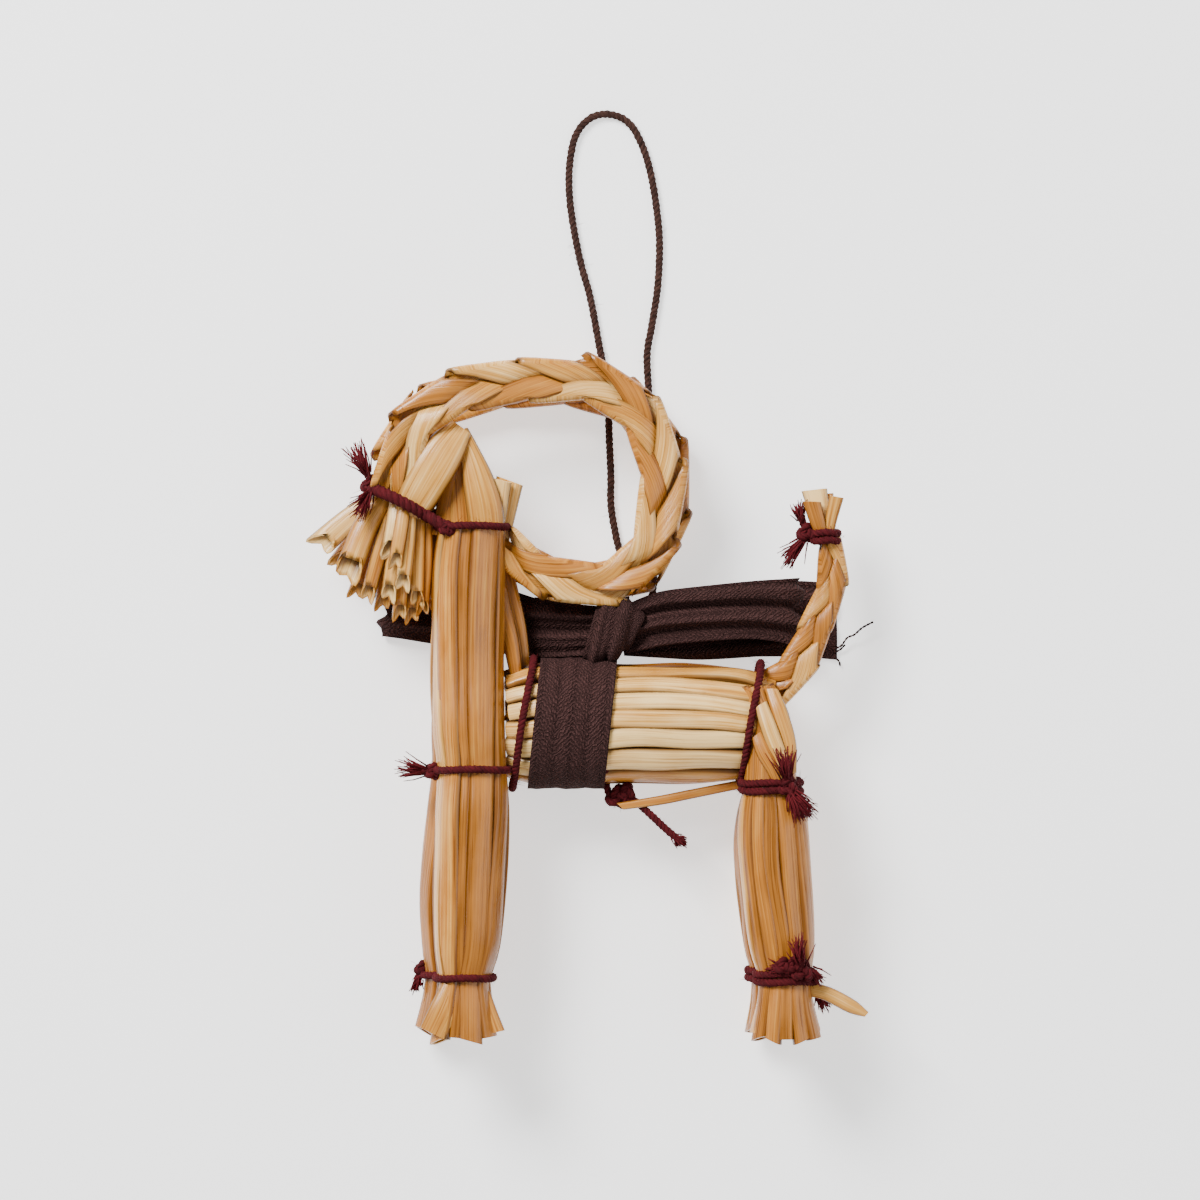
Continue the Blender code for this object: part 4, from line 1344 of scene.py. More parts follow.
@dataclass
class HangingLoop:
    """The twisted cord of the hanging loop."""

    radius: float = 0.72 * MM
    route: Sequence[Row] = (
        (616, 640, 4.9), (617, 630, 3.8), (621, 616, 1.6),
        *level_rows(0.8, (626, 598), (625, 570), (617, 540), (611, 505), (611, 475), (609.5, 440), (608, 405),
                    (604, 370), (599, 342), (590, 295), (581, 262), (573, 222), (569, 190), (569.5, 160),
                    (576, 131), (591, 114), (610, 110.5), (629, 119), (642, 141), (651, 170), (657, 205),
                    (660, 240), (658, 285), (652, 325), (647.5, 352), (649, 390), (652, 430), (653, 475),
                    (653, 520), (654, 560), (653, 592)),
        (648, 612, 1.0), (639, 630, 2.9), (632, 640, 4.9),
    )

    def build(self, finishes: Finishes) -> None:
        """Args:
            finishes: The finishes.
        """
        piece = Piece("hanging_cord", "hanging_loop")
        points = [Vector(row) for row in even_rows(pixel_rows(self.route), 2.0 * MM)]
        yarn = Yarn(self.radius, pitch=2.9 * MM, fuzz=420.0, tone=0.42, seed=11)
        yarn.along(piece, points)
        made = piece.finish(finishes.cord)
        length = line_length(points)
        self.radius * 2
        LOG.info("hanging loop %.1f mm", length / MM)


@dataclass
class Legs:
    """Ovals of a pair of leg bundles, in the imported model's own sizes.

    Attributes:
        foot: Y of the feet.
        height: Height of the bundle.
        middle: X of the bundle.
        rows: Share of the height, lean, extra lean of the far half, half width, half depth,
            distance from the outside and lift, all but the share in millimetres.
        thickness: The goat's thickness.
    """

    foot: float
    height: float
    middle: float
    rows: Sequence[Row]
    thickness: float = 23.2

    def oval(self, row: Row, side: Side) -> Oval:
        """The cut through one half of the pair at a row.

        Args:
            row: One of the rows.
            side: Which half.

        Returns:
            The oval in metres.
        """
        share, lean, far_lean, width, depth, inset, lift = row
        half = self.thickness / 2
        x = self.middle + lean + (far_lean if side is Side.FAR else 0.0)
        z = half + lift + side.value * (half - inset - depth)
        return Oval(Vector((x, self.foot + share * self.height, z)) * MM, ACROSS, width * MM, depth * MM)

    def ovals(self, side: Side) -> list[tuple[float, Oval]]:
        """All the cuts through one half, with their shares brought between 0 and 1."""
        return [(row[0] / self.rows[-1][0], self.oval(row, side)) for row in self.rows]


FRONT_LEGS = Legs(-60.0, 90.5, -22.0, (
    (0.000, -1.1, -2.5, 6.2, 4.9, 0.8, 0.0),
    (0.060, -0.9, -2.6, 5.0, 4.5, 0.9, 0.0),
    (0.107, -0.8, -2.7, 4.6, 4.2, 1.4, 0.0),
    (0.170, -0.3, -2.8, 5.7, 5.0, 0.4, 0.0),
    (0.280, 0.0, -2.9, 6.3, 5.5, 0.0, 0.0),
    (0.423, 0.5, -2.1, 6.45, 5.5, 0.0, 0.0),
    (0.519, 0.6, -1.4, 6.0, 4.5, 1.1, 0.0),
    (0.600, 0.1, -1.0, 6.2, 4.8, 0.2, 0.0),
    (0.728, -0.2, -0.8, 6.2, 5.7, 2.3, 0.8),
    (0.900, -0.1, 0.0, 6.3, 5.6, 2.7, 0.8),
    (1.000, 0.4, 0.0, 5.7, 4.9, 3.2, 0.8),
))
HIND_LEGS = Legs(-60.0, 43.9, 32.6, (
    (0.000, 2.3, -1.0, 6.2, 4.9, 0.8, 0.0),
    (0.120, 2.1, -1.1, 5.0, 4.5, 0.9, 0.0),
    (0.222, 2.0, -1.2, 4.7, 4.2, 1.4, 0.0),
    (0.330, 1.7, -1.2, 5.7, 5.0, 0.4, 0.0),
    (0.510, 1.0, -1.0, 6.2, 5.5, 0.0, 0.0),
    (0.740, 0.3, -0.8, 6.4, 5.5, 0.0, 0.0),
    (0.890, 0.0, -0.5, 5.9, 4.9, 0.5, 0.0),
    (1.000, -0.5, 0.0, 4.7, 4.3, 1.2, 0.0),
    (1.150, -0.6, 0.0, 4.4, 4.6, 1.5, 0.0),
    (1.290, -1.2, 0.0, 4.0, 4.3, 2.2, 0.0),
    (1.400, -3.0, 0.0, 3.2, 3.6, 3.4, 0.0),
))


@dataclass
class FrontBundle:
    """The front legs, neck, head and beard.

    Attributes:
        seed: Sets the small irregularities.
        near: The straws that are seen of the near leg.
        head: Tone, thickness and rows of the straws that fold over the head.
        drops: How far below each other the layers of the head lie.
        beard: Tone, thickness, slant of the cut and rows of the beard's straws.
        beard_tube: What else their tubes have.
        ends: Tone, thickness and rows of the straws behind the neck and at the near foot.
    """

    seed: int = 21
    near: Sequence[BundleStraw] = (
        BundleStraw((136, 133, 132, 131, 130), (4.0, 4.6, 4.3, 4.6, 4.4), 0.53, -0.03, slants=(0.5, 0)),
        BundleStraw((104, 104, 103, 101, 100), (2.6, 2.5, 2.3, 2.6, 2.9), 0.36, -0.01, sink=1.25),
        BundleStraw((74, 72, 70, 63, 58), (4.6, 4.8, 4.9, 6.0, 6.0), 0.48, -0.02, sink=0.85,
                    slants=(-0.3, 0)),
        BundleStraw((34, 32, 26, 14, 8), (4.4, 4.4, 4.0, 4.4, 4.4), 0.42, -0.01),
    )
    head: Sequence[tuple[float, float, Sequence[Row]]] = (
        (0.68, 1.6, ((488, 536, 16.8, 6.4, 6), (485, 508, 17.6, 6.6, 6), (478, 478, 17.6, 5.4, 4),
                     (470, 452, 17.0, 3.6, 0), (460, 433, 16.4, 3.4, -6))),
        (0.72, 1.5, ((461, 429, 17.4, 4.6, 0), (449, 446, 19.0, 6.8, 0), (434, 471, 19.7, 7.6, 0),
                     (417, 500, 19.0, 7.0, -4), (410, 514, 18.0, 5.6, -8))),
        (0.42, 1.5, ((443, 536, 15.0, 4.2, -10), (447, 508, 15.4, 3.8, -8), (452, 478, 15.8, 3.4, 0),
                     (455, 456, 15.8, 2.8, 0))),
        (0.55, 1.5, ((463, 538, 15.4, 4.4, 0), (461, 510, 15.7, 4.2, 0), (459, 484, 15.8, 3.4, 0),
                     (457, 462, 15.6, 2.6, 0))),
        (0.36, 1.5, ((456, 429, 14.8, 5.2, 0), (440, 436, 15.2, 5.6, 0), (416, 462, 15.6, 5.0, 0),
                     (396, 494, 15.6, 4.4, 0))),
        (0.30, 1.5, ((430, 444, 13.6, 4.0, 0), (404, 460, 14.2, 4.6, 0), (389, 480, 14.6, 4.0, 0),
                     (388, 500, 14.8, 3.4, 0))),
    )
    drops: Sequence[float] = (0.0, 3.6, 7.2)
    beard: Sequence[tuple[float, float, float, Sequence[Row]]] = (
        (0.86, 1.5, 0.7, ((392, 494, 10.6, 3.2), (356, 514, 10.6, 4.0), (322, 543, 10.6, 4.8))),
        (0.66, 2.9, -0.6, ((388, 493, 14.6, 3.8), (367, 526, 15.8, 4.6), (351, 567, 16.6, 5.0))),
        (0.84, 2.4, 0.4, ((402, 500, 16.8, 4.2), (399, 524, 17.8, 4.6), (394, 549, 18.2, 4.2))),
        (0.56, 1.8, 0.8, ((394, 496, 13.0, 2.6), (374, 546, 13.2, 3.0), (357, 590, 13.0, 2.8))),
        (0.64, 2.0, -0.6, ((398, 497, 15.0, 2.6), (381, 550, 15.4, 2.9), (369, 593, 15.2, 2.7))),
        (0.50, 1.8, 0.8, ((401, 499, 13.2, 2.6), (391, 552, 13.6, 3.0), (383, 602, 13.2, 2.8))),
        (0.70, 2.0, -0.7, ((405, 500, 15.8, 2.6), (396, 552, 16.4, 2.9), (390, 592, 16.4, 2.8))),
        (0.60, 1.8, 0.8, ((409, 502, 14.2, 2.6), (404, 556, 14.6, 2.9), (400, 612, 14.2, 2.6))),
        (0.74, 2.0, -0.5, ((412, 502, 17.0, 2.6), (408, 545, 17.6, 2.9), (404, 582, 17.6, 2.8))),
        (0.54, 1.7, 0.8, ((416, 504, 13.2, 2.6), (413, 560, 13.4, 2.9), (412, 615, 13.0, 2.6))),
        (0.66, 1.9, -0.8, ((420, 505, 15.2, 2.6), (418, 552, 15.6, 2.9), (418, 598, 15.2, 2.6))),
        (0.50, 1.6, 0.7, ((426, 507, 14.6, 2.6), (426, 560, 14.6, 2.8), (423, 608, 14.2, 2.4))),
        (0.62, 1.8, 0.5, ((406, 501, 17.8, 2.4), (402, 530, 18.8, 2.7), (397, 561, 19.0, 2.5))),
        (0.46, 1.6, -0.7, ((432, 509, 12.4, 2.6), (434, 560, 12.4, 2.8), (436, 604, 12.0, 2.4))),
        (0.62, 2.2, 0.7, ((394, 495, 9.8, 3.4), (366, 528, 8.8, 4.0), (342, 560, 8.4, 4.2))),
        (0.50, 2.2, -0.6, ((402, 498, 9.6, 3.4), (380, 545, 8.6, 4.0), (366, 584, 8.4, 3.8))),
        (0.70, 2.2, 0.6, ((410, 502, 9.6, 3.4), (396, 550, 8.6, 4.0), (388, 596, 8.4, 3.8))),
        (0.55, 2.0, -0.6, ((418, 505, 9.8, 3.2), (412, 550, 9.2, 3.6), (410, 596, 9.0, 3.2))),
    )
    beard_tube: dict[str, Any] = field(default_factory=lambda: {
        "squareness": 0.8, "wall": 0.14, "hollow": 4.0 * MM, "gapes": (0.0, 2.0), "notch": 2.0 * MM})
    ends: Sequence[tuple[float, float, Sequence[Row]]] = (
        (0.90, 1.7, ((490, 550, 15.4, 3.4), (494, 528, 15.6, 3.8), (499, 480, 16.2, 4.8))),
        (0.82, 1.4, ((497, 550, 13.0, 3.4), (502, 528, 13.4, 3.8), (510, 481, 14.2, 5.0))),
        (0.45, 1.4, ((492, 548, 9.0, 3.0), (495, 528, 9.0, 3.0), (502, 486, 9.0, 3.4))),
        (0.52, 1.6, ((500, 552, 11.2, 3.4), (508, 590, 11.6, 3.6), (517, 628, 11.6, 3.4),
                     (523, 668, 11.2, 2.8))),
        (0.40, 1.5, ((498, 590, 14.0, 3.2), (504, 618, 14.6, 3.4), (511, 642, 14.8, 3.0),
                     (518, 686, 14.4, 2.0))),
        (0.66, 1.4, ((454, 984, 20.6, 4.2), (445, 1007, 21.2, 5.2), (434, 1030, 21.2, 5.2))),
        (0.55, 1.1, ((486, 990, 19.0, 1.8), (492, 1010, 19.4, 2.2), (499, 1029, 19.6, 2.4))),
    )

    def build(self, finishes: Finishes) -> None:
        """Make the legs with the neck, then the head, then the beard.

        Args:
            finishes: The finishes.
        """
        rng = random.Random(self.seed)
        piece = Piece("front_leg_straws", "head_and_front_legs")
        near = [*self.near, *around(-12, -192, 6, 4.9, rng)]
        Bundle(FRONT_LEGS.ovals(Side.NEAR), near, seed=1, spread=0.95).build(piece)
        far = [BundleStraw((148, 146, 142, 140, 138), (4.6,) * 3, 0.32), *around(110, -180, 9, 4.8, rng)]
        Bundle(FRONT_LEGS.ovals(Side.FAR), far, seed=2).build(piece)
        piece.finish(finishes.straw)
        piece = Piece("head_straws")
        for tone, thick, rows in self.head:
            for drop in self.drops:
                moved = [(x, y, z - drop, *more) for x, y, z, *more in rows]
                own_tone = tone + rng.uniform(-0.1, 0.1) * bool(drop)
                piece.add(straw_along(moved, rng, thick, own_tone))
        piece.finish(finishes.straw)
        piece = Piece("beard_straws")
        for tone, thick, slant, rows in self.beard:
            piece.add(straw_along(rows, rng, thick, tone, slants=(0.0, slant * 0.5), **self.beard_tube))
        for tone, thick, rows in self.ends:
            piece.add(straw_along(rows, rng, thick, tone, slants=(0.0, rng.uniform(-0.2, 0.2))))
        piece.finish(finishes.straw)


@dataclass
class Torso:
    """The body bundle with the hind legs.

    Attributes:
        seed: Sets the small irregularities.
        middle_y: Y of the body's middle.
        middle_z: Its height above the table.
        front_x: X of the chest.
        back_x: X of the rump.
        cuts: Share of the body's length, half height and half depth.
        near: The straws that are seen of the body.
        hind_near: The straws that are seen of the near hind leg.
        stray: Rows of the straw that stands out at the near hind foot.
        rump: Tone and rows of the straws that fan out over the rump.
        loose: Rows of the straw under the belly.
    """

    seed: int = 31
    middle_y: float = -4.9
    middle_z: float = 11.6
    front_x: float = -15.0
    back_x: float = 31.6
    cuts: Sequence[Row] = (
        (0.00, 9.6, 7.6), (0.06, 10.6, 8.9), (0.14, 11.1, 9.4), (0.40, 10.9, 9.4), (0.70, 10.8, 9.4),
        (0.90, 10.1, 9.2), (1.00, 8.6, 7.8),
    )
    near: Sequence[BundleStraw] = (
        BundleStraw((30, 26, 24), (4.6, 3.8, 4.4), 0.72, 0.0, 1.02),
        BundleStraw((57, 46, 54), (3.4, 3.8, 4.4), 0.82, 0.0, 1.03, slants=(0, 0.4)),
        BundleStraw((78, 65, 76), (3.6, 3.9, 3.4), 0.88, 0.01, 1.02),
        BundleStraw((97, 84, 92), (3.6, 4.0, 3.6), 0.78, 0.0, 1.00, slants=(0, -0.4)),
        BundleStraw((119, 104, 110), (4.2, 4.2, 3.8), 1.02, 0.0, 1.01, sink=0.95),
        BundleStraw((143, 128, 134), (4.6, 5.2, 4.6), 0.90, 0.0, 1.00),
        BundleStraw((168, 155, 168), (4.6, 5.0, 5.0), 0.64, 0.0, 0.99),
    )
    hind_near: Sequence[BundleStraw] = (
        BundleStraw((150, 149, 151, 150, 148), (4.2, 4.4, 4.4, 4.0, 3.8), 0.28, -0.02, slants=(0.4, 0)),
        BundleStraw((118, 115, 124, 122, 118), (3.6, 3.7, 3.6, 3.2, 3.0), 0.54, -0.04, slants=(-0.4, 0)),
        BundleStraw((92, 89, 98, 96, 94), (3.2, 3.2, 3.6, 3.0, 2.8), 0.36, -0.02),
        BundleStraw((62, 60, 68, 66, 64), (3.8, 4.0, 4.2, 3.4, 3.2), 0.42, -0.03, slants=(0.3, 0)),
        BundleStraw((32, 32, 35, 36, 36), (3.6, 3.8, 4.0, 3.6, 3.2), 0.36, -0.02),
    )
    stray: Sequence[Row] = (
        (797, 987, 18.0, 2.2), (822, 990, 18.4, 2.6), (850, 1004, 18.6, 2.6), (865, 1012, 18.6, 1.1),
    )
    rump: Sequence[tuple[float, Sequence[Row]]] = (
        (0.62, ((770, 689, 19.6, 2.4), (778, 712, 21.0, 3.0), (787, 742, 21.4, 2.8), (789, 772, 21.6, 2.2))),
        (0.80, ((760, 704, 20.8, 2.4), (768, 728, 22.0, 3.0), (779, 758, 22.3, 2.8), (783, 776, 22.0, 2.2))),
        (0.52, ((756, 734, 21.4, 2.2), (762, 750, 22.2, 2.8), (771, 766, 22.4, 2.6), (776, 780, 22.0, 2.0))),
    )
    loose: Sequence[Row] = (
        (740, 784, 13.0, 1.6), (690, 794, 13.2, 1.7), (660, 800, 13.2, 1.7), (620, 806, 13.2, 1.4),
    )

    def ovals(self) -> list[tuple[float, Oval]]:
        """The cuts through the body, from the chest to the rump.

        Returns:
            Their shares and ovals.
        """
        found = []
        for share, height, depth in self.cuts:
            centre = Vector((mix(self.front_x, self.back_x, share), self.middle_y, self.middle_z)) * MM
            found.append((share, Oval(centre, ALONG_Y, height * MM, depth * MM)))
        return found

    def build(self, finishes: Finishes) -> None:
        """Make the body, the hind legs and their loose straws.

        Args:
            finishes: The finishes.
        """
        rng = random.Random(self.seed)
        piece = Piece("body_straws", "torso_and_hind_legs")
        body = [*self.near, *around(-6, -174, 8, 4.6, rng)]
        Bundle(self.ovals(), body, seed=3, spread=0.86).build(piece)
        near = [*self.hind_near, *around(0, -190, 7, 4.4, rng)]
        Bundle(HIND_LEGS.ovals(Side.NEAR), near, seed=4, spread=0.83).build(piece)
        Bundle(HIND_LEGS.ovals(Side.FAR), around(170, -160, 11, 4.4, rng), seed=5).build(piece)
        piece.add(straw_along(self.stray, rng, 1.3, 0.66, slants=(0.0, -0.2)))
        for tone, rows in self.rump:
            piece.add(straw_along(rows, rng, 1.3, tone, slants=(rng.uniform(-0.6, 0.6), 0.0)))
        piece.finish(finishes.straw)
        piece = Piece("loose_straw", "loose_belly_straw")
        piece.add(straw_along(self.loose, rng, 0.9, 0.5, slants=(0.4, 0.8)))
        piece.finish(finishes.straw)


@dataclass
class Plaits:
    """The two horns and the tail.

    Attributes:
        seed: Sets how the tail's ends are cut.
        horn_near: The near horn's line.
        horn_far: The far horn's line.
        tail: The tail's line.
        tail_ends: Tone and rows of the tail's cut ends.
    """

    seed: int = 41
    horn_near: Sequence[Row] = (
        (394, 497, 17.4), (396, 478, 18.4), (402, 453, 19.0), (414, 429, 19.4), (435, 408, 19.6),
        (465, 393, 19.4), (500, 384, 18.2), (545, 381, 16.8), (590, 383, 15.8), (627, 402, 15.2),
        *level_rows(15.0, (651, 433), (661, 473), (658, 517), (643, 555), (614, 577), (580, 582), (547, 573),
                    (523, 560)),
        (506, 541, 14.6),
    )
    horn_far: Sequence[Row] = (
        (401, 492, 5.4),
        *level_rows(4.9, (399, 472), (401, 448), (410, 427), (428, 408), (463, 396), (503, 388), (546, 386),
                    (590, 389), (630, 407), (656, 436), (667, 475), (665, 519), (650, 557), (618, 577)),
        (582, 583, 5.0), (549, 575, 5.4), (522, 560, 5.8),
    )
    tail: Sequence[Row] = (
        (764, 688, 12.6), (778, 682, 13.2),
        *level_rows(13.6, (793, 669), (807, 645), (820, 614), (830, 586), (830, 560), (826, 540), (825, 532)),
    )
    tail_ends: Sequence[tuple[float, Sequence[Row]]] = (
        (0.95, ((826, 540, 13.4, 2.2), (821, 520, 13.4, 3.6), (814, 490, 13.0, 4.6))),
        (0.42, ((823, 540, 14.2, 1.8), (817, 522, 14.8, 2.8), (811, 502, 15.2, 3.2))),
        (0.70, ((828, 540, 13.8, 1.8), (830, 522, 14.2, 2.2), (836, 497, 14.6, 2.6))),
        (0.55, ((825, 540, 12.6, 2.0), (825, 520, 12.2, 2.8), (824, 494, 12.0, 3.4))),
    )

    def build(self, finishes: Finishes) -> None:
        """Make the three plaits.

        Args:
            finishes: The finishes.
        """
        near = Plait(self.horn_near, half=3.2, pitch=34.0, width=4.5, gather=15.0, tones=(0.78, 0.48, 0.62),
                     start=0.15, seed=6)
        far = Plait(self.horn_far, pitch=35.0, tones=(0.50, 0.66, 0.40), start=0.35, seed=7)
        tail = Plait(self.tail, half=2.6, lift=0.6, pitch=22.5, width=4.2, narrow=0.66,
                     tones=(0.68, 0.46, 0.38), start=0.2, seed=8)
        for plait, name, node in (
            (near, "near_horn_plait", "horn_near"), (far, "far_horn_plait", "horn_far"),
            (tail, "tail_plait_straws", "tail_plait"),
        ):
            piece = Piece(name, node)
            plait.build(piece)
            if plait is tail:
                self.add_tail_ends(piece)
            piece.finish(finishes.straw)

    def add_tail_ends(self, piece: Piece) -> None:
        """Add the cut ends of the tail's straws above its tie."""
        rng = random.Random(self.seed)
        for tone, rows in self.tail_ends:
            piece.add(straw_along(rows, rng, 1.2, tone, step=0.8, slants=(0.0, rng.uniform(-0.5, 0.5))))


TIE_KNOTS: dict[str, Sequence[Row]] = {
    "front_leg_tie_near": ((434, 771, 17.6, 1.1),),
    "front_foot_tie_far": ((422, 970, 6.0, 1.0),),
    "hind_leg_tie_near": ((786, 785, 22.2, 1.5),),
    "hind_foot_tie_near": ((800, 968, 22.4, 1.6), (792, 962, 22.8, 1.1), (781, 963, 22.8, 1.1)),
    "muzzle_tie": ((372, 486, 17.0, 1.4),),
    "neck_tie": ((448, 529, 20.0, 0.9),),
    "belly_tie": ((618, 797, 11.6, 1.8), (626, 792, 12.2, 1.3)),
    "tail_tie": ((806, 533, 14.0, 1.3),),
}
TIE_ENDS: dict[str, Sequence[tuple[float, Sequence[Row]]]] = {
    "front_leg_tie_near": ((4.6, ((434, 771, 17.6), (428, 770, 17.7), (421, 769, 17.8))),),
    "front_foot_tie_far": ((1.4, ((422, 970, 6.0), (418, 978, 6.0), (416, 986, 5.8))),),
    "hind_leg_tie_near": (
        (5.4, ((786, 784, 22.4), (785, 778, 22.7), (784, 772, 22.8))),
        (5.0, ((788, 786, 22.4), (791, 791, 22.4), (795, 796, 22.3))),
        (4.6, ((788, 788, 22.8), (790, 794, 23.1), (793, 800, 23.2))),
    ),
    "hind_foot_tie_near": (
        (4.0, ((800, 966, 22.6), (798, 960, 23.3), (797, 954, 23.7))),
        (2.6, ((803, 967, 22.2), (810, 968, 21.4), (814, 972, 20.8))),
        (2.2, ((796, 968, 22.6), (784, 966, 22.8), (776, 966, 22.4))),
    ),
    "hind_foot_tie_far": ((2.2, ((806, 972, 9.6), (817, 986, 10.2), (823, 1000, 9.8))),),
    "muzzle_tie": (
        (5.0, ((373, 484, 17.4), (369, 476, 17.8), (365, 468, 18.1))),
        (3.8, ((373, 488, 18.0), (370, 495, 19.0), (367, 501, 19.4))),
    ),
    "belly_tie": (
        (0.0, ((606, 784, 11.6), (609, 793, 11.6), (618, 799, 11.6))),
        (1.2, ((620, 796, 11.8), (634, 800, 12.2), (650, 814, 12.6), (666, 829, 12.8), (682, 842, 13.0))),
    ),
    "tail_tie": (
        (2.2, ((806, 532, 14.0), (802, 522, 14.2), (799, 513, 14.2))),
        (5.0, ((806, 535, 14.0), (803, 540, 14.1), (799, 545, 14.1))),
        (0.0, ((818, 536, 14.6), (812, 535, 14.6), (807, 534, 14.4))),
    ),
}


@dataclass
class Ties:
    """Every tie of burgundy yarn, with the knots and the frayed ends of the two tables.

    TIE_KNOTS gives pixel x, pixel y, depth and size of the knots, and TIE_ENDS the length of
    the brush and the rows of the yarn's ends, all in millimetres.

    Attributes:
        yarn: The yarn of most ties.
        thick: The yarn round the beard.
        legs: Start of the name, legs, share of their height and turns of the leg ties.
        strand: Rows of the thick yarn that runs from the beard to the neck.
    """

    yarn: Yarn = field(default_factory=lambda: Yarn(seed=51))
    thick: Yarn = field(default_factory=lambda: Yarn(1.12 * MM, pitch=3.4 * MM, seed=52))
    legs: Sequence[tuple[str, Legs, float, int]] = (
        ("front_leg_tie", FRONT_LEGS, 0.519, 1), ("front_foot_tie", FRONT_LEGS, 0.107, 1),
        ("hind_leg_tie", HIND_LEGS, 1.0, 2), ("hind_foot_tie", HIND_LEGS, 0.222, 2),
    )
    strand: Sequence[Row] = ((424, 513, 18.6), (436, 521, 19.2), (449, 528, 19.6), (458, 531, 19.6))

    def build(self, finishes: Finishes) -> None:
        """Make all the ties.

        Args:
            finishes: The finishes.
        """
        for stem, legs, share, turns in self.legs:
            row = next(r for r in legs.rows if r[0] == share)
            for side in Side:
                node = f"{stem}_{side.name.lower()}"
                self.tie(finishes, node + "_yarn", node, legs.oval(row, side), turns=turns)
        beard_way = Vector((0.89, -0.455, 0.0)).normalized()
        for stem, oval, options in (
            ("muzzle", Oval(at(401, 502, 12.5), beard_way, 5.2 * MM, 7.0 * MM), {"squareness": 0.8}),
            ("neck", self.neck(), {"squareness": 0.72}),
            ("chest", Oval(at(523, 723.2, 11.6), ALONG_Y, 11.1 * MM, 9.3 * MM), {"lean": 1.9 * MM}),
            ("rump", Oval(at(750, 723.2, 11.6), ALONG_Y, 10.3 * MM, 9.1 * MM), {"lean": 1.9 * MM}),
            ("belly", Oval(at(604.8, 723.2, 11.6), ALONG_Y, 9.6 * MM, 8.0 * MM), {}),
            ("tail", Oval(at(825, 537, 13.6), ACROSS, 1.7 * MM, 1.9 * MM), {"turns": 2}),
        ):
            self.tie(finishes, stem + "_yarn", stem + "_tie", oval, **options)

    @staticmethod
    def neck() -> Oval:
        """The oval round both halves of the neck."""
        near, far = (FRONT_LEGS.oval(FRONT_LEGS.rows[-1], side) for side in Side)
        depth = near.half_depth + (near.centre.z - far.centre.z) / 2
        return Oval((near.centre + far.centre) / 2, ACROSS, near.half_width + 0.1 * MM, depth)

    def tie(self, finishes: Finishes, name: str, node: str, oval: Oval, **options: Any) -> None:
        """Make one tie.

        Args:
            finishes: The finishes.
            name: The piece's name.
            node: The node that it stands for, which is also its name in the tables.
            oval: What it is wound round.
            options: Further arguments of the ring.
        """
        piece = Piece(name, node)
        yarn = self.thick if node == "muzzle_tie" else self.yarn
        yarn.ring(piece, oval, **options)
        for *place, size in TIE_KNOTS.get(node, ()):
            self.yarn.knot(piece, at(*place), size * MM)
        for fray, rows in TIE_ENDS.get(node, ()):
            self.yarn.along(piece, pixel_points(rows), fray * MM)
        if yarn is self.thick:
            yarn.along(piece, pixel_points(self.strand))
        piece.finish(finishes.yarn)


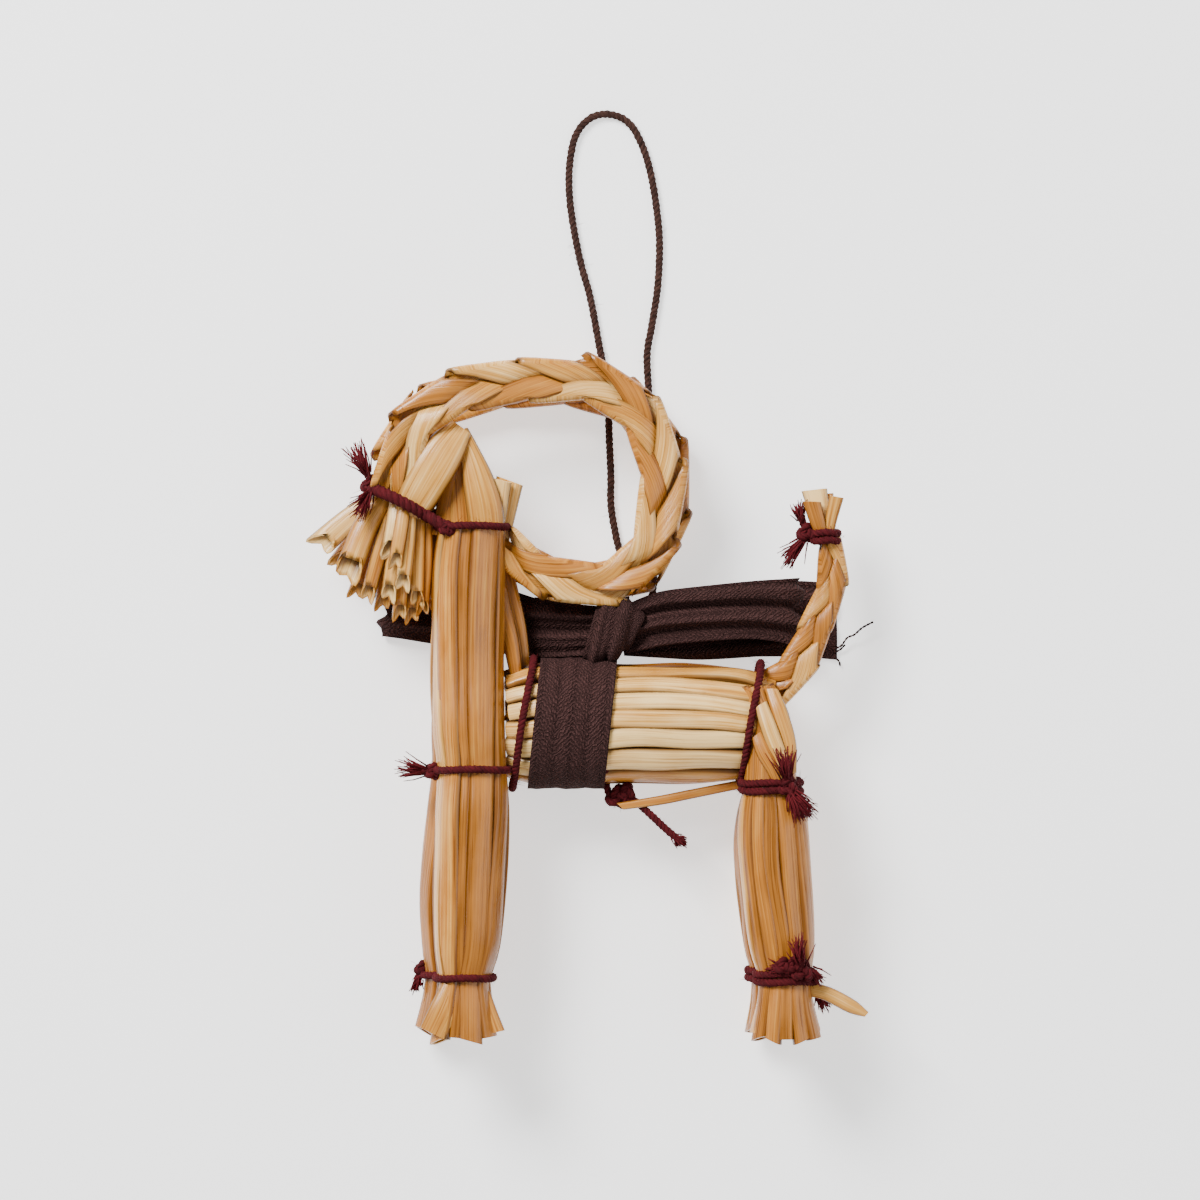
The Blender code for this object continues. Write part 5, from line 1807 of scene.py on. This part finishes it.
@dataclass
class Ribbon:
    """The tape round the belly and its bow.

    Attributes:
        width: The tape's width.
        thickness: Its thickness.
        columns: Cells of the tape across its width.
        folds: For each wave of the gathered folds its height as a share, how fast it goes across the
            tape and along it, and how much the seed moves it.
        bow_left: Pixel x, pixel y, depth and width of the left loop, and so on for the next three.
        threads: Rows of the loose threads at the right end.
    """

    width: float = 13.8 * MM
    thickness: float = 0.55 * MM
    columns: int = 24
    folds: Sequence[Row] = ((1.0, 7.5, 0.05, 1.0), (0.4, 17.0, 0.13, 2.0))
    bow_left: Sequence[Row] = (
        (606, 630, 12.0, 8.4), (575, 630, 10.4, 9.4), (540, 628, 7.6, 10.4), (520, 625, 5.6, 11.0),
        (500, 621, 3.4, 11.8), (470, 616, 2.5, 12.4), (430, 609, 2.5, 12.6), (396, 604, 2.6, 12.4),
        (383, 603, 2.3, 12.2), (379, 603, 1.5, 12.2), (383, 603, 0.75, 12.2), (398, 605, 0.5, 12.2),
        (430, 609, 0.5, 12.2), (470, 616, 0.5, 12.2), (504, 621, 0.9, 11.8), (540, 628, 3.6, 10.4),
        (575, 630, 6.4, 9.4), (606, 630, 8.0, 8.4),
    )
    bow_right: Sequence[Row] = (
        (624, 630, 12.4, 8.8), (645, 623, 13.0, 9.6), (665, 618, 13.0, 9.9), (700, 614, 12.6, 10.0),
        (750, 610, 11.6, 10.4), (785, 611, 10.6, 11.6), (796, 613, 9.8, 12.6), (799.5, 614, 8.3, 13.0),
        (796, 615, 7.0, 13.0), (785, 618, 6.4, 13.0), (750, 623, 6.0, 12.4), (700, 629, 6.4, 11.2),
        (660, 632, 7.9, 9.4), (624, 632, 8.8, 8.6),
    )
    end_right: Sequence[Row] = (
        (624, 631, 7.2, 7.6), (660, 629, 5.0, 10.0), (700, 625, 3.4, 12.0), (750, 620, 2.0, 13.4),
        (800, 619, 1.2, 13.8), (839, 622, 0.9, 13.8),
    )
    end_left: Sequence[Row] = (
        (606, 634, 7.0, 7.6), (576, 634, 3.2, 10.0), (552, 633, 1.0, 12.0), (534, 632, 0.6, 12.6),
    )
    threads: Sequence[Sequence[Row]] = (
        ((836, 649, 1.2), (843, 646, 1.4), (849, 638, 1.8), (856, 635, 2.0), (864, 628, 2.2),
         (875, 622, 2.2)),
        ((836, 653, 0.9), (842, 650, 1.0), (847, 645, 1.2)),
        ((837, 658, 0.7), (841, 662, 0.7), (842, 667, 0.6)),
    )

    def strip(
        self, piece: Piece, cuts: Sequence[Cut], start: float, ripple: float, seed: float = 0.0,
        arch: float = 0.0,
    ) -> float:
        """Add a strip of tape.

        Args:
            piece: What it is added to.
            cuts: The cuts across it.
            start: The first distance, for the weave.
            ripple: Height of the gathered folds along it, in metres.
            seed: Varies the folds.
            arch: How far its edges curl down.

        Returns:
            Its length in metres.
        """
        shape = bmesh.new()
        lie = shape.verts.layers.float_vector.new("lie")
        rows = len(cuts) - 1
        reach = [0.0]
        for (before, *_), (centre, *_) in zip(cuts, cuts[1:]):
            reach.append(reach[-1] + (centre - before).length)
        bmesh.ops.create_grid(shape, x_segments=self.columns, y_segments=rows, size=1.0)
        for vert in shape.verts:
            u = vert.co.x
            index = int(round((vert.co.y + 1.0) / 2.0 * rows))
            (centre, half, out), along = cuts[index], reach[index] / MM
            wave = sum(
                high * math.sin(u * fast + seed * shift + along * slow)
                for high, fast, slow, shift in self.folds
            )
            fold = ripple * wave * max(0.0, 1.0 - abs(u) ** 4)
            sag = 0.25 * ripple * math.sin(along * 0.4 + seed * 3)
            vert.co = centre + half * u + out * (fold + sag - arch * u * u)
            vert.co.z = max(vert.co.z, 0.3 * MM)
            vert[lie] = (u * self.width / 2 / MM, start + along, seed)
        bmesh.ops.solidify(shape, geom=shape.faces[:], thickness=self.thickness)
        bmesh.ops.recalc_face_normals(shape, faces=shape.faces)
        for vert in shape.verts:
            vert.co.z = max(vert.co.z, TABLE_GAP)
        piece.add(shape)
        return reach[-1]

    @staticmethod
    def flat_cuts(rows: Sequence[Row]) -> list[Cut]:
        """Cuts of a strip whose width lies along Y, from rows with their widths in millimetres.

        Args:
            rows: Pixel x, pixel y, depth and width.

        Returns:
            The cuts.
        """
        read = even_rows(pixel_rows(rows), 0.8 * MM)
        points = [Vector(row[:3]) for row in read]
        return [
            (point, ALONG_Y * row[3] * MM / 2, way.cross(ALONG_Y).normalized())
            for point, way, row in zip(points, directions(points), read)
        ]

    @staticmethod
    def turn_cuts(
        steps: int, power: float, place: Callable[[float, float], Cut]
    ) -> list[Cut]:
        """Cuts of a whole turn that starts on the table side.

        Args:
            steps: How many steps it has.
            power: Below 1 for a rounded box.
            place: Gives the middle, the half width and the way out for a cosine and a sine.

        Returns:
            The cuts.
        """
        return [place(*rounded(math.pi + FULL_TURN * k / steps, power)) for k in range(steps + 1)]

    def build(self, finishes: Finishes) -> None:
        """Make the band, the bow and its knot.

        Args:
            finishes: The finishes.
        """
        piece = Piece("ribbon_tape", "belly_ribbon")
        band = self.strip(piece, self.turn_cuts(96, 1.0, self.band_cut), 0.0, 0.10 * MM)
        bow = sum(
            self.strip(piece, self.flat_cuts(rows), 10.0 * seed, ripple * MM, seed)
            for rows, ripple, seed in (
                (self.bow_left, 1.0, 1.0), (self.bow_right, 1.05, 2.2),
                (self.end_right, 0.4, 3.1), (self.end_left, 0.4, 4.0),
            )
        )
        self.strip(piece, self.turn_cuts(48, 0.75, self.knot_cut), 4.0, 0.55 * MM, 5.0, 1.9 * MM)
        thread = Yarn(0.2 * MM, plies=2, pitch=1.6 * MM, fuzz=0.0, seed=61)
        for rows in self.threads:
            thread.along(piece, pixel_points(rows))
        made = piece.finish(finishes.tape)
        total = bow + band + HIDDEN_TAPE
        LOG.info("tape %.0f mm long", total / MM)

    def band_cut(self, c: float, s: float) -> Cut:
        """A cut of the turn round the body, for a cosine and a sine."""
        centre = Vector((-3.5 + 1.2 * s, -4.9 + 11.75 * s, 11.6 + 10.05 * c)) * MM
        return centre, ACROSS * self.width / 2, Vector((0.0, s / 11.4, c / 9.7)).normalized()

    @staticmethod
    def knot_cut(c: float, s: float) -> Cut:
        """A cut of the turn round the middle of the bow, for a cosine and a sine."""
        place = at(614, 631, 11.6) + Vector((1.4 * s, 5.8 * s, 5.5 * c)) * MM
        return place, Vector((4.4 * MM, -1.1 * MM * s, 0.0)), Vector((0.0, s, c)).normalized()


def main() -> None:
    """Build the whole ornament."""
    logging.basicConfig(level=logging.INFO, format="%(message)s")
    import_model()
    studio = Studio()
    studio.place_camera()
    finishes = Finishes.make()
    for part in (HangingLoop(), FrontBundle(), Torso(), Plaits(), Ties(), Ribbon()):
        part.build(finishes)
    studio.build()


if __name__ == "__main__":
    main()
